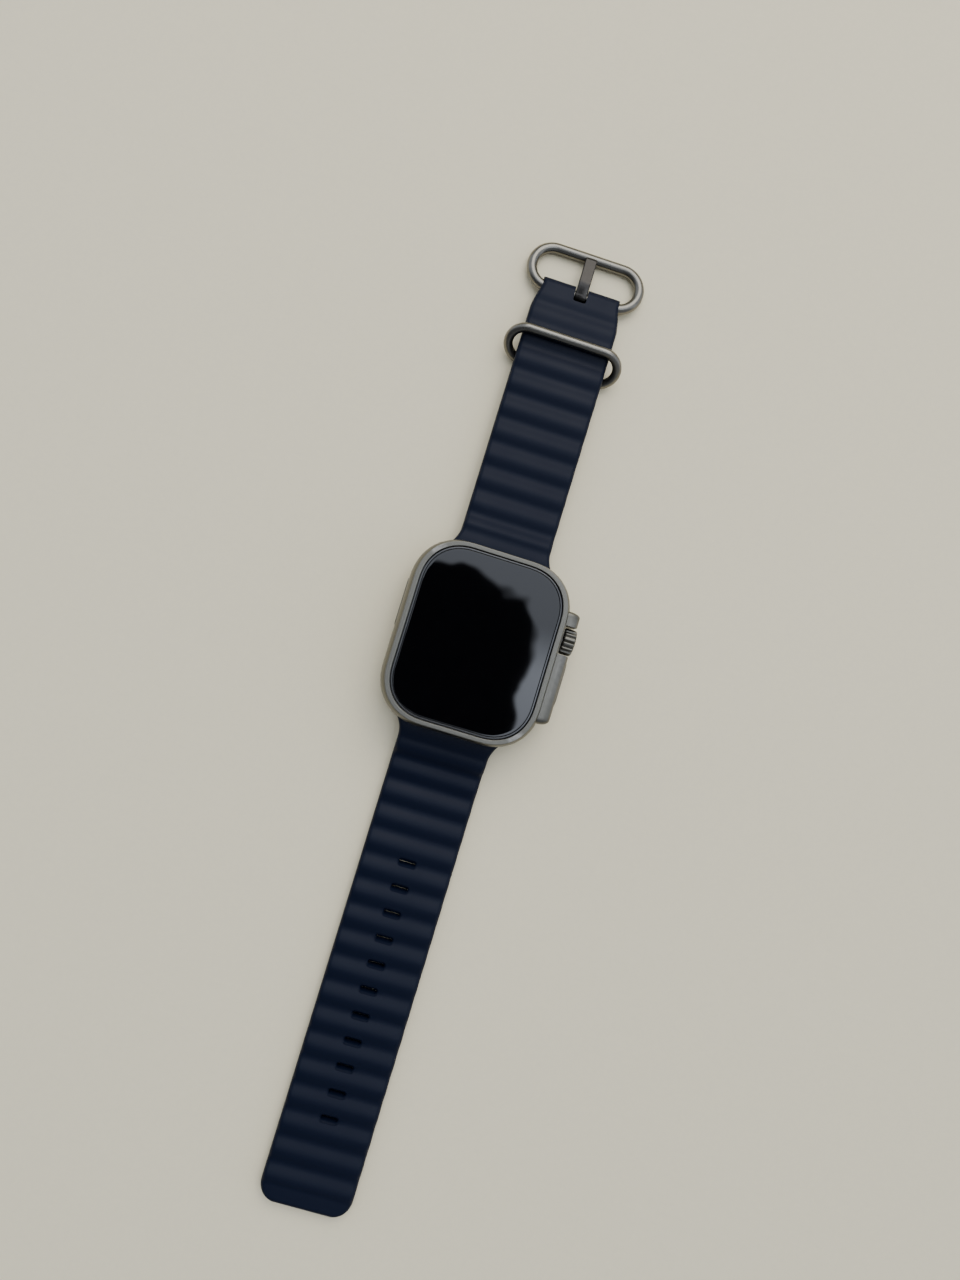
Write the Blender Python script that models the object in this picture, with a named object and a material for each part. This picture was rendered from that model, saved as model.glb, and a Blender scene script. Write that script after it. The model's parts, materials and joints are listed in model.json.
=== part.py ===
"""A rugged wristwatch computer with a wavy elastomer strap, a wire buckle and a wire keeper.

The watch lies on its back crystal: +X points to the crown, +Y to the buckle, +Z out of the display.
Lengths are in millimetres here and become metres as each object is made.
"""

import math

import bmesh
import bpy
import numpy as np
from mathutils import Matrix, Vector

MM = 0.001
OBJECT_NAME = "smartwatch"

# Case
CASE_HALF = (21.2, 24.5)
CASE_CORNER = 12.0
CASE_BACK_Z = 2.0
LIP_TOP_Z = 14.4
LIP_HALF = (18.65, 22.55)
LIP_CORNER = 10.05
CORNER_STEPS = 8
CAVITY_HALF = (18.0, 17.5)
SEAT_Z = 12.6
GUARD_OUTER_X = 23.85
GUARD_Y = (-15.2, 14.9)
GUARD_Z = (3.3, 12.2)

# Strap lugs
CHANNEL_Y = 21.0
CHANNEL_Z = 6.0
CHANNEL_RADIUS = 2.5
LUG_RADIUS = 2.2
LUG_LENGTH = 28.0
MOUTH_HEIGHT = 3.2

# Crown and buttons
CROWN_Y = 7.3
CROWN_Z = 7.9
CROWN_RADIUS = 3.45
CROWN_RIDGES = 14
CROWN_OUTER_X = 24.35
BUTTON_Z = 7.9
BUTTON_GAP = 0.25
SIDE_BUTTON_Y = -3.9
ACTION_BUTTON_Y = 4.8
BUTTON_LENGTH = 12.8

# Release buttons and latch pins
RELEASE_Y = 20.6
PIN_RADIUS = 0.6

# Strap: distances along it are counted from the case's edge at y = 24.5
STRAP_HALF_WIDTH = 12.1
STRAP_ROOT_HALF_WIDTH = 13.9
STRAP_START_Y = 23.4
CREST_HALF = 1.9
VALLEY_HALF = 1.15
ROOT_HALF = 1.25
HINGE_GAP = 0.15
WAVE_STEPS = 6
CLOSER_BY, CLOSER_OVER = 1.6, 14.0  # the waves nearest the case stand a little closer together
BUCKLE_WAVE = (1.7, 6.83)
TAIL_WAVE = (10.0, 6.78)
BUCKLE_HINGES = (1, 3, 5)
TAIL_HINGES = (0, 2, 4.5, 7.5, 10.5, 13.5)
TAIL_TIP = 126.9
TAIL_TIP_CORNER = 5.0
SLOT_VALLEYS = range(4, 15)
SLOT_HALF = (2.3, 0.7)
BUCKLE_PATH = ((23.4, 6.0), (25.4, 5.93), (28.5, 5.35), (33.0, 4.8), (40.0, 4.65), (60.0, 4.65),
               (80.0, 4.65), (86.5, 4.2), (92.5, 2.95), (97.3, 2.42), (100.5, 2.42))
TAIL_PATH = ((23.4, 6.0), (25.4, 5.9), (28.5, 4.9), (32.0, 3.35), (37.0, 2.25), (44.0, 1.95),
             (60.0, 1.93), (158.0, 1.93))

# Buckle and keeper
BUCKLE_WIRE = 1.4
KEEPER_WIRE = 1.25
RING_HALF_LENGTH = 14.95
BUCKLE_HEIGHT = 11.4
KEEPER_HEIGHT = 9.4
BUCKLE_BAR = (97.3, 2.42)
REST_GAP = 0.02
KNUCKLE_RADIUS = 2.4
KNUCKLE_BORE = 1.78
STRAP_END_HALF_WIDTH = 10.75
TONGUE_WIDTH = 3.2
TONGUE_KNUCKLE = 2.1
TONGUE_BORE = 1.55
NOTCH_HALF = 1.8
KEEPER_REAR_Y = 76.6
KEEPER_TILT = math.radians(47)

TITANIUM = (0.19, 0.17, 0.155)
STRAP_BLUE = (0.012, 0.015, 0.032)
BLACK = (0.012, 0.012, 0.013)

PARTS = None
CUTTERS = None


def clear_scene():
    """Empties the scene and makes the collections for the parts and for the cutters."""
    global PARTS, CUTTERS
    for obj in list(bpy.data.objects):
        bpy.data.objects.remove(obj, do_unlink=True)
    PARTS = bpy.data.collections.new(OBJECT_NAME)
    CUTTERS = bpy.data.collections.new("cutters")
    for collection in (PARTS, CUTTERS):
        bpy.context.scene.collection.children.link(collection)


def material(name, color, roughness, metallic=0.0):
    made = bpy.data.materials.new(name)
    made.use_nodes = True
    shader = made.node_tree.nodes["Principled BSDF"]
    shader.inputs["Base Color"].default_value = (*color, 1.0)
    shader.inputs["Roughness"].default_value = roughness
    shader.inputs["Metallic"].default_value = metallic
    return made


def finish(obj, name, color, roughness, metallic=0.0):
    """Names an object as a sub-part, gives it its own material and moves it to the parts."""
    obj.name = obj.data.name = name
    obj.data.materials.clear()
    obj.data.materials.append(material(name, color, roughness, metallic))
    for collection in list(obj.users_collection):
        collection.objects.unlink(obj)
    PARTS.objects.link(obj)
    return obj


def as_cutter(obj, name):
    obj.name = name
    obj.hide_render = True
    obj.display_type = "WIRE"
    for collection in list(obj.users_collection):
        collection.objects.unlink(obj)
    CUTTERS.objects.link(obj)
    return obj


def boolean(target, tool, operation="DIFFERENCE"):
    """Adds an exact Boolean with a tool object, which is kept as a hidden cutter."""
    modifier = target.modifiers.new(f"{operation.lower()} {tool.name}", "BOOLEAN")
    modifier.operation = operation
    modifier.solver = "EXACT"
    modifier.object = tool
    as_cutter(tool, tool.name)


def from_bmesh(bm, name):
    bmesh.ops.recalc_face_normals(bm, faces=bm.faces)
    mesh = bpy.data.meshes.new(name)
    bm.to_mesh(mesh)
    bm.free()
    obj = bpy.data.objects.new(name, mesh)
    bpy.context.scene.collection.objects.link(obj)
    return obj


def set_origin(obj, point):
    """Moves an object's origin to a point in millimetres without moving its shape."""
    place = Vector(point) * MM
    obj.data.transform(Matrix.Translation(-place))
    obj.location = place
    return obj


def box(name, low, high, bevel=0.0):
    low, high = Vector(low) * MM, Vector(high) * MM
    bm = bmesh.new()
    bmesh.ops.create_cube(bm, size=1.0)
    size = high - low
    bmesh.ops.transform(bm, verts=bm.verts, matrix=Matrix.Diagonal((*size, 1.0)))
    bmesh.ops.translate(bm, verts=bm.verts, vec=(low + high) / 2)
    if bevel:
        bmesh.ops.bevel(bm, geom=bm.edges[:], offset=bevel * MM, segments=2, profile=0.5, affect="EDGES")
    return from_bmesh(bm, name)


def turned(name, profile, centre, axis="Z", steps=32, closed=False):
    """Turns a profile of (radius, height) points round an axis through a centre.

    An open profile starts and ends on the axis; a closed one makes a ring.
    """
    bm = bmesh.new()
    verts = [bm.verts.new((radius * MM, 0.0, height * MM)) for radius, height in profile]
    edges = [bm.edges.new(pair) for pair in zip(verts, verts[1:])]
    if closed:
        edges.append(bm.edges.new((verts[-1], verts[0])))
    bmesh.ops.spin(bm, geom=verts + edges, cent=(0, 0, 0), axis=(0, 0, 1), angle=math.tau,
                   steps=steps, use_merge=False, use_duplicate=False)
    bmesh.ops.remove_doubles(bm, verts=bm.verts, dist=1e-6)
    turn = {"Z": Matrix.Identity(4), "X": Matrix.Rotation(math.pi / 2, 4, "Y")}[axis]
    bmesh.ops.transform(bm, verts=bm.verts, matrix=turn)
    bmesh.ops.translate(bm, verts=bm.verts, vec=Vector(centre) * MM)
    return from_bmesh(bm, name)


def rod(name, radius, start, end, centre, axis="Z", steps=24):
    return turned(name, ((0, start), (radius, start), (radius, end), (0, end)), centre, axis, steps)


def ring(name, inner, outer, start, end, centre, axis="Z", steps=32):
    profile = ((inner, start), (outer, start), (outer, end), (inner, end))
    return turned(name, profile, centre, axis, steps, closed=True)


def rounded_outline(half, corner, steps=CORNER_STEPS):
    """Points of a rounded rectangle, counter-clockwise, as corner arcs."""
    points = []
    for quarter, (sx, sy) in enumerate(((1, 1), (-1, 1), (-1, -1), (1, -1))):
        for step in range(steps + 1):
            angle = math.radians(90 * (quarter + step / steps))
            points.append((sx * (half[0] - corner) + corner * math.cos(angle),
                           sy * (half[1] - corner) + corner * math.sin(angle)))
    return points


def stacked(name, levels, close=False):
    """Skins a list of (z, outline) levels; close joins the last level to the first as a ring."""
    bm = bmesh.new()
    loops = [[bm.verts.new((x * MM, y * MM, z * MM)) for x, y in outline] for z, outline in levels]
    pairs = list(zip(loops, loops[1:]))
    if close:
        pairs.append((loops[-1], loops[0]))
    for lower, upper in pairs:
        for index in range(len(lower)):
            following = (index + 1) % len(lower)
            bm.faces.new((lower[index], lower[following], upper[following], upper[index]))
    if not close:
        bm.faces.new(loops[0])
        bm.faces.new(loops[-1])
    return from_bmesh(bm, name)


def inset_levels(profile, half, corner):
    """Turns (z, inset) pairs into levels of a rounded rectangle."""
    return [(z, rounded_outline((half[0] - inset, half[1] - inset), max(corner - inset, 0.5)))
            for z, inset in profile]


def slab(name, half, corner, bottom, top, edge=0.0):
    profile = [(bottom, 0.0), (top - edge, 0.0)]
    if edge:
        profile.append((top, edge))
    return stacked(name, inset_levels(profile, half, corner))


def frame_ring(name, outer, inner, corner, bottom, top):
    inner_corner = corner - (outer[0] - inner[0])
    return stacked(name, [
        (bottom, rounded_outline(outer, corner)), (top, rounded_outline(outer, corner)),
        (top, rounded_outline(inner, inner_corner)), (bottom, rounded_outline(inner, inner_corner)),
    ], close=True)


def prism_x(name, outline, start, end):
    """A prism along X of an outline of (y, z) points."""
    bm = bmesh.new()
    loops = [[bm.verts.new((x * MM, y * MM, z * MM)) for y, z in outline] for x in (start, end)]
    bm.faces.new(loops[0])
    bm.faces.new(loops[1])
    for index in range(len(outline)):
        following = (index + 1) % len(outline)
        bm.faces.new((loops[0][index], loops[0][following], loops[1][following], loops[1][index]))
    return from_bmesh(bm, name)


def stadium(half_length, radius, centre, steps=8, along=0):
    """Outline of a slot with round ends, long in its first or second direction."""
    points = []
    straight = half_length - radius
    for side in (1, -1):
        for step in range(steps + 1):
            angle = math.pi * (step / steps - 0.5)
            u = side * (straight + radius * math.cos(angle))
            v = side * radius * math.sin(angle)
            points.append((centre[0] + (u if along == 0 else v), centre[1] + (v if along == 0 else u)))
    return points


# ---------------------------------------------------------------- strap path and loft


class StrapPath:
    """A smooth run of (distance from the case's middle, height) points, measured along its length."""

    def __init__(self, points, side):
        out, up = (np.array(column) for column in zip(*points))
        slope = np.gradient(up, out)
        fine = np.linspace(out[0], out[-1], 1200)
        cell = np.clip(np.searchsorted(out, fine) - 1, 0, len(out) - 2)
        width = out[cell + 1] - out[cell]
        t = (fine - out[cell]) / width
        self.up = (up[cell] * (1 + 2 * t) * (1 - t) ** 2 + up[cell + 1] * t * t * (3 - 2 * t)
                   + width * (slope[cell] * t * (1 - t) ** 2 - slope[cell + 1] * t * t * (1 - t)))
        self.out = fine
        steps = np.hypot(np.diff(self.out), np.diff(self.up))
        length = np.concatenate(([0.0], np.cumsum(steps)))
        self.along = length - np.interp(CASE_HALF[1], self.out, length)
        self.side = side

    def at(self, distance):
        """Returns the (y, z) point and the unit (y, z) direction at a distance along the strap."""
        place = [np.interp(distance + shift, self.along, run)
                 for shift in (-0.05, 0.0, 0.05) for run in (self.out, self.up)]
        direction = np.array((place[4] - place[0], place[5] - place[1]))
        direction /= np.hypot(*direction)
        return (self.side * place[2], place[3]), (self.side * direction[0], direction[1])

    def distance(self, out):
        return float(np.interp(out, self.out, self.along))


def smooth(low, high, value):
    t = min(max((value - low) / (high - low), 0.0), 1.0)
    return t * t * (3 - 2 * t)


def wave_half(wave, distance):
    """Half the strap's thickness where its waves run at full depth."""
    first, pitch = wave
    stretched = distance + CLOSER_BY * (1 - math.exp(-max(distance, 0.0) / CLOSER_OVER))
    phase = math.cos(math.tau * (stretched - first) / pitch)
    return (CREST_HALF + VALLEY_HALF) / 2 - (CREST_HALF - VALLEY_HALF) / 2 * phase


def valley_place(wave, index):
    """Distance along the strap of a valley, counted from zero at the case; a half is a crest."""
    first, pitch = wave
    distance = np.linspace(0.0, TAIL_TIP, 2000)
    stretched = distance + CLOSER_BY * (1 - np.exp(-distance / CLOSER_OVER))
    return float(np.interp(first + pitch * index, stretched, distance))


def root_flare(distance):
    """Extra half width next to the case: it falls away fast, like a fillet."""
    share = min(max((distance + 1.1) / 5.1, 0.0), 1.0)
    return (STRAP_ROOT_HALF_WIDTH - STRAP_HALF_WIDTH) * (1 - share) ** 2.2


def buckle_section(distance):
    """Half width and half thickness of the buckle-side strap at a distance along it."""
    knuckle = BUCKLE_STRAP.distance(BUCKLE_BAR[0])
    half_width = STRAP_HALF_WIDTH + root_flare(distance)
    taper = smooth(knuckle - 7.5, knuckle + 1.0, distance)
    half_width += (STRAP_END_HALF_WIDTH - STRAP_HALF_WIDTH) * taper
    half = ROOT_HALF + (wave_half(BUCKLE_WAVE, distance) - ROOT_HALF) * smooth(1.5, 5.0, distance)
    half += (KNUCKLE_RADIUS - half) * smooth(knuckle - 8.0, knuckle - 0.8, distance)
    if distance > knuckle:
        half = math.sqrt(max(KNUCKLE_RADIUS ** 2 - (distance - knuckle) ** 2, 0.09))
    return half_width, half


def tail_section(distance):
    """Half width and half thickness of the tail strap at a distance along it."""
    half_width = STRAP_HALF_WIDTH + root_flare(distance)
    half = ROOT_HALF + (wave_half(TAIL_WAVE, distance) - ROOT_HALF) * smooth(1.5, 5.0, distance)
    tip = TAIL_TIP - distance
    if tip < TAIL_TIP_CORNER:
        short = TAIL_TIP_CORNER - tip
        half_width -= TAIL_TIP_CORNER - math.sqrt(max(TAIL_TIP_CORNER ** 2 - short ** 2, 0.0))
    if tip < 1.0:
        half *= 0.45 + 0.55 * math.sqrt(max(1 - (1 - tip) ** 2, 0.0))
    return half_width, half


def cross_section(half_width, half):
    """Twelve (across, up) points of a flat section with rounded edges."""
    edge = min(0.9, half * 0.85)
    shape = ((1.0, 0.0), (0.75, 0.7), (0.0, 1.0))
    points = []
    for sx, sy, order in ((1, 1, shape), (-1, 1, shape[::-1]), (-1, -1, shape), (1, -1, shape[::-1])):
        for across, up in order:
            points.append((sx * (half_width - edge + edge * across), sy * (half - edge + edge * up)))
    return points


def nose(place, radius, side):
    """Stations of a half-round nose past a place, as (distance, share of the full thickness)."""
    angles = [math.radians(angle) for angle in (20, 40, 60, 80)]
    return [(place + side * radius * math.sin(angle), math.cos(angle)) for angle in angles]


def strap_solid(name, path, section, start, end, round_start, round_end):
    """Lofts a stretch of strap; a rounded end is a half-round nose that can roll over its hinge."""
    first = start + HINGE_GAP + section(start)[1] if round_start else start
    last = end - HINGE_GAP - section(end)[1] if round_end else end
    count = max(2, round((last - first) / (BUCKLE_WAVE[1] / WAVE_STEPS)))
    stations = [(first + (last - first) * index / count, 1.0) for index in range(count + 1)]
    if round_start:
        stations = nose(first, section(start)[1], -1)[::-1] + stations
    if round_end:
        stations += nose(last, section(end)[1], 1)
    bm = bmesh.new()
    loops = []
    for distance, share in stations:
        (y, z), (dy, dz) = path.at(distance)
        half_width, half = section(distance)
        side_share = 1.0 - 0.12 * (1.0 - share)
        loop = []
        for across, up in cross_section(half_width * side_share, max(half * share, 0.2)):
            up_y, up_z = -dz * path.side, dy * path.side
            loop.append(bm.verts.new((across * MM, (y + up * up_y) * MM, (z + up * up_z) * MM)))
        loops.append(loop)
    for lower, upper in zip(loops, loops[1:]):
        for index in range(len(lower)):
            following = (index + 1) % len(lower)
            bm.faces.new((lower[index], lower[following], upper[following], upper[index]))
    bm.faces.new(loops[0])
    bm.faces.new(loops[-1])
    solid = from_bmesh(bm, name)
    (y, z), _ = path.at(start)
    return set_origin(solid, (0, y, z))


# ---------------------------------------------------------------- case


def make_case_frame():
    walls = ((CASE_BACK_Z, 2.3, 2.2), (2.5, 1.5, 1.4), (3.4, 0.8, 0.75), (4.8, 0.26, 0.25),
             (6.6, 0.03, 0.03), (8.6, 0.0, 0.0), (10.4, 0.1, 0.07), (11.6, 0.4, 0.28), (12.4, 0.8, 0.5),
             (12.8, 1.02, 0.62), (14.15, 1.1, 0.68), (LIP_TOP_Z, 1.3, 0.88))
    levels = [(z, rounded_outline((CASE_HALF[0] - across, CASE_HALF[1] - along), CASE_CORNER - along))
              for z, across, along in walls]
    for z, room in ((LIP_TOP_Z, 0.3), (14.1, 0.0), (SEAT_Z, 0.0)):
        levels.append((z, rounded_outline((LIP_HALF[0] + room, LIP_HALF[1] + room), LIP_CORNER + room)))
    case = stacked("case_frame", levels)

    guard = box("crown_guard", (15.0, GUARD_Y[0], GUARD_Z[0]), (GUARD_OUTER_X, GUARD_Y[1], GUARD_Z[1]), 1.1)
    boolean(case, guard, "UNION")

    boolean(case, slab("cavity_main", CAVITY_HALF, 6.0, 5.4, 11.5))
    boolean(case, slab("cavity_display", (16.7, 20.7), 9.0, 11.3, SEAT_Z + 1.0))
    boolean(case, slab("cavity_lower", (14.6, 16.6), 9.5, 3.5, 5.6))
    boolean(case, slab("cover_recess", (16.4, 18.7), 7.5, CASE_BACK_Z - 1.0, 4.0))

    for side in (1, -1):
        y = side * CHANNEL_Y
        boolean(case, rod(f"channel_{side}", CHANNEL_RADIUS, -30, 30, (0, y, CHANNEL_Z), "X", 28))
        low, high = sorted((side * (CHANNEL_Y + 1.0), side * 27.0))
        mouth = box(f"mouth_{side}", (-30, low, CHANNEL_Z - MOUTH_HEIGHT / 2),
                    (30, high, CHANNEL_Z + MOUTH_HEIGHT / 2))
        boolean(case, mouth)
        outline = stadium(2.7, 1.15, (0, side * RELEASE_Y))
        boolean(case, stacked(f"release_hole_{side}", [(1.0, outline), (4.2, outline)]))

    clear = CROWN_RADIUS + 0.4
    pocket = box("crown_pocket", (20.55, CROWN_Y - clear, 2.0), (26, CROWN_Y + clear, 14))
    boolean(case, pocket)
    boolean(case, rod("crown_hole", 1.75, 16.0, 22.0, (0, CROWN_Y, CROWN_Z), "X"))
    for name, side, y in (("side", 1, SIDE_BUTTON_Y), ("action", -1, ACTION_BUTTON_Y)):
        floor = side * (21.6 if side > 0 else 19.9)
        outline = stadium(BUTTON_LENGTH / 2 + BUTTON_GAP, button_radius(side) + BUTTON_GAP, (y, BUTTON_Z))
        boolean(case, prism_x(f"{name}_pocket", outline, *sorted((floor, side * 26))))
        boolean(case, rod(f"{name}_hole", 1.15, *sorted((side * 16.5, side * 22.5)), (0, y, BUTTON_Z), "X"))
    for index in range(5):
        outline = stadium(1.5, 0.45, (-5.4 - 1.5 * index, BUTTON_Z), along=1)
        boolean(case, prism_x(f"speaker_slot_{index + 1}", outline, -24, -17))
    boolean(case, rod("microphone_hole", 0.4, -24, -17, (0, -3.2, BUTTON_Z), "X", 12))
    for index, (x, y) in enumerate(screw_places()):
        boolean(case, rod(f"thread_hole_{index + 1}", 0.75, 3.0, 6.0, (x, y, 0), "Z", 16))
    return finish(case, "case_frame", TITANIUM, 0.42, 1.0)


def button_radius(side):
    return 2.6 if side > 0 else 1.5


def screw_places():
    return [(sx * 12.8, sy * 15.1) for sx, sy in ((1, 1), (-1, 1), (-1, -1), (1, -1))]


def make_display_stack():
    half = (LIP_HALF[0] - 0.3, LIP_HALF[1] - 0.3)
    corner = LIP_CORNER - 0.3
    finish(slab("front_crystal", half, corner, 13.0, 14.15, 0.3), "front_crystal", BLACK, 0.05)
    finish(frame_ring("display_gasket", half, (17.2, 21.2), corner, SEAT_Z + 0.05, 12.95),
           "display_gasket", BLACK, 0.6)
    finish(slab("display_panel", (16.4, 20.4), 8.8, 11.75, 12.9), "display_panel", BLACK, 0.2)
    finish(box("display_flex", (-4, 12.5, 11.15), (4, 16.5, 11.5)), "display_flex", (0.25, 0.12, 0.02), 0.5)


def make_internals():
    finish(box("logic_board", (-16.8, -14.4, 9.95), (12.6, 14.4, 10.85)), "logic_board",
           (0.01, 0.06, 0.03), 0.5)
    finish(box("battery", (-8.5, -15.4, 5.7), (4.2, 15.4, 9.6), 0.5), "battery", (0.02, 0.02, 0.022), 0.5)
    finish(box("haptic_motor", (4.8, -15.4, 5.7), (12.4, -9.4, 9.5), 0.6), "haptic_motor",
           (0.4, 0.4, 0.42), 0.35, 1.0)
    finish(box("speaker_module", (-16.9, -14.2, 5.7), (-9.2, -4.9, 9.5), 0.4), "speaker_module", BLACK, 0.5)
    finish(box("speaker_mesh", (-17.8, -12.6, 6.1), (-17.4, -4.5, 9.6)), "speaker_mesh", BLACK, 0.6)
    finish(box("microphone", (-17.7, -4.1, 6.9), (-16.6, -2.3, 8.9)), "microphone",
           (0.5, 0.45, 0.3), 0.4, 1.0)


def make_back():
    cover = slab("back_cover", (16.2, 18.5), 7.3, CASE_BACK_Z, 3.5)
    boolean(cover, rod("crystal_recess", 14.4, 1.0, 2.85, (0, 0, 0), "Z", 48))
    boolean(cover, rod("sensor_window", 13.2, 1.0, 4.0, (0, 0, 0), "Z", 48))
    for index, (x, y) in enumerate(screw_places()):
        boolean(cover, rod(f"screw_hole_{index + 1}", 0.85, 1.0, 4.0, (x, y, 0), "Z", 16))
        boolean(cover, rod(f"screw_sink_{index + 1}", 1.35, 1.0, 2.9, (x, y, 0), "Z", 16))
        profile = ((0, 2.15), (1.15, 2.15), (1.15, 2.8), (0.6, 2.8), (0.6, 5.3), (0, 5.3))
        screw = turned("screw", profile, (x, y, 0), "Z", 16)
        slot = box(f"driver_slot_{index + 1}", (x - 0.8, y - 0.18, 1.9), (x + 0.8, y + 0.18, 2.45))
        boolean(screw, slot)
        finish(set_origin(screw, (x, y, 2.15)), f"back_screw_{index + 1}", (0.3, 0.3, 0.31), 0.3, 1.0)
    finish(cover, "back_cover", (0.015, 0.015, 0.016), 0.25)
    finish(frame_ring("back_gasket", (15.9, 18.2), (15.0, 17.3), 12.6, 3.6, 3.9), "back_gasket", BLACK, 0.7)

    dome = ((0, 0), (9.0, 0), (11.5, 0.3), (13.2, 0.85), (14.1, 1.7), (14.1, 2.75), (0, 2.75))
    finish(turned("back_crystal", dome, (0, 0, 0), "Z", 48), "back_crystal", BLACK, 0.05)
    finish(rod("sensor_board", 11.6, 3.35, 4.05, (0, 0, 0), "Z", 32), "sensor_board",
           (0.01, 0.05, 0.03), 0.5)
    finish(ring("charging_coil", 9.4, 12.6, 2.85, 3.25, (0, 0, 0)), "charging_coil",
           (0.45, 0.17, 0.05), 0.35, 1.0)
    finish(rod("alignment_magnet", 3.4, 2.85, 3.25, (0, 0, 0)), "alignment_magnet",
           (0.4, 0.4, 0.42), 0.3, 1.0)
    for index in range(4):
        angle = math.radians(45 + 90 * index)
        x, y = 6.4 * math.cos(angle), 6.4 * math.sin(angle)
        emitter = box("emitter", (x - 1.1, y - 1.1, 2.85), (x + 1.1, y + 1.1, 3.25))
        finish(set_origin(emitter, (x, y, 3.0)), f"sensor_emitter_{index + 1}", (0.02, 0.2, 0.04), 0.3)


def make_crown():
    centre = (0, CROWN_Y, CROWN_Z)
    finish(ring("crown_bush", 1.1, 1.6, 18.4, 20.5, centre, "X", 24), "crown_bush",
           (0.3, 0.25, 0.12), 0.3, 1.0)
    finish(ring("crown_seal", 1.1, 1.6, 17.6, 18.25, centre, "X", 24), "crown_seal", BLACK, 0.7)
    low, high = (10.4, CROWN_Y - 1.5, CROWN_Z - 1.5), (12.4, CROWN_Y + 1.5, CROWN_Z + 1.5)
    finish(box("crown_switch", low, high, 0.2), "crown_switch", BLACK, 0.5)
    cup = ((0, 12.9), (1.7, 12.9), (1.7, 14.4), (1.15, 14.4), (1.15, 13.4), (0, 13.4))
    finish(set_origin(turned("crown_pusher", cup, centre, "X"), (13, CROWN_Y, CROWN_Z)), "crown_pusher",
           (0.6, 0.6, 0.62), 0.3, 1.0)
    finish(set_origin(rod("crown_shaft", 0.95, 13.5, 22.6, centre, "X"), centre), "crown_shaft",
           (0.5, 0.5, 0.52), 0.25, 1.0)
    finish(set_origin(ring("crown_encoder_ring", 1.05, 2.1, 15.2, 16.0, centre, "X"), centre),
           "crown_encoder_ring", (0.7, 0.7, 0.72), 0.25, 1.0)

    knob = crown_knob(centre)
    boolean(knob, rod("shaft_bore", 1.1, 20.0, 22.75, centre, "X"))
    boolean(knob, rod("cap_recess", 2.5, CROWN_OUTER_X - 0.5, 26.0, centre, "X"))
    finish(set_origin(knob, centre), "crown_knob", TITANIUM, 0.4, 1.0)
    cap = rod("crown_cap", 2.4, CROWN_OUTER_X - 0.45, CROWN_OUTER_X - 0.02, centre, "X")
    finish(set_origin(cap, centre), "crown_cap", TITANIUM, 0.35, 1.0)


def crown_knob(centre):
    """A knob with rounded ridges all round, as a stack of waved outlines along X."""
    bm = bmesh.new()
    count = CROWN_RIDGES * 6
    loops = []
    rings = ((21.1, 0.55), (21.4, 0.1), (21.8, 0.0), (23.7, 0.0), (24.15, 0.12), (CROWN_OUTER_X, 0.5))
    for x, shrink in rings:
        loop = []
        for index in range(count):
            angle = math.tau * index / count
            groove = 0.34 * (0.5 - 0.5 * math.cos(CROWN_RIDGES * angle)) ** 3
            radius = CROWN_RADIUS - shrink - groove
            loop.append(bm.verts.new((x * MM, (centre[1] + radius * math.cos(angle)) * MM,
                                      (centre[2] + radius * math.sin(angle)) * MM)))
        loops.append(loop)
    for lower, upper in zip(loops, loops[1:]):
        for index in range(count):
            following = (index + 1) % count
            bm.faces.new((lower[index], lower[following], upper[following], upper[index]))
    bm.faces.new(loops[0])
    bm.faces.new(loops[-1])
    return from_bmesh(bm, "crown_knob")


def make_push_button(name, side, y):
    """A slot-shaped key with a stem through the wall, its seal and the switch behind it."""
    inner, outer = (22.1, GUARD_OUTER_X + 0.12) if side > 0 else (20.45, CASE_HALF[0] + 0.2)
    radius = button_radius(side)
    levels = ((inner, 0.0), (outer - 0.25, 0.0), (outer, 0.25))
    bm = bmesh.new()
    loops = []
    for x, inset in levels:
        outline = stadium(BUTTON_LENGTH / 2 - inset, radius - inset, (y, BUTTON_Z))
        loops.append([bm.verts.new((side * x * MM, v * MM, w * MM)) for v, w in outline])
    for lower, upper in zip(loops, loops[1:]):
        for index in range(len(lower)):
            following = (index + 1) % len(lower)
            bm.faces.new((lower[index], lower[following], upper[following], upper[index]))
    bm.faces.new(loops[0])
    bm.faces.new(loops[-1])
    key = from_bmesh(bm, f"{name}_key")
    stem = rod(f"{name}_stem", 0.9, *sorted((side * 16.95, side * (inner + 0.4))), (0, y, BUTTON_Z), "X")
    boolean(key, stem, "UNION")
    finish(set_origin(key, (side * inner, y, BUTTON_Z)), f"{name}_key", TITANIUM, 0.42, 1.0)
    low, high = sorted((side * 17.15, side * 17.75))
    finish(ring(f"{name}_seal", 1.05, 1.7, low, high, (0, y, BUTTON_Z), "X", 24), f"{name}_seal", BLACK, 0.7)
    low, high = sorted((side * 14.7, side * 16.5))
    finish(box(f"{name}_switch", (low, y - 1.5, BUTTON_Z - 1.5), (high, y + 1.5, BUTTON_Z + 1.5), 0.2),
           f"{name}_switch", BLACK, 0.5)


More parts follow.
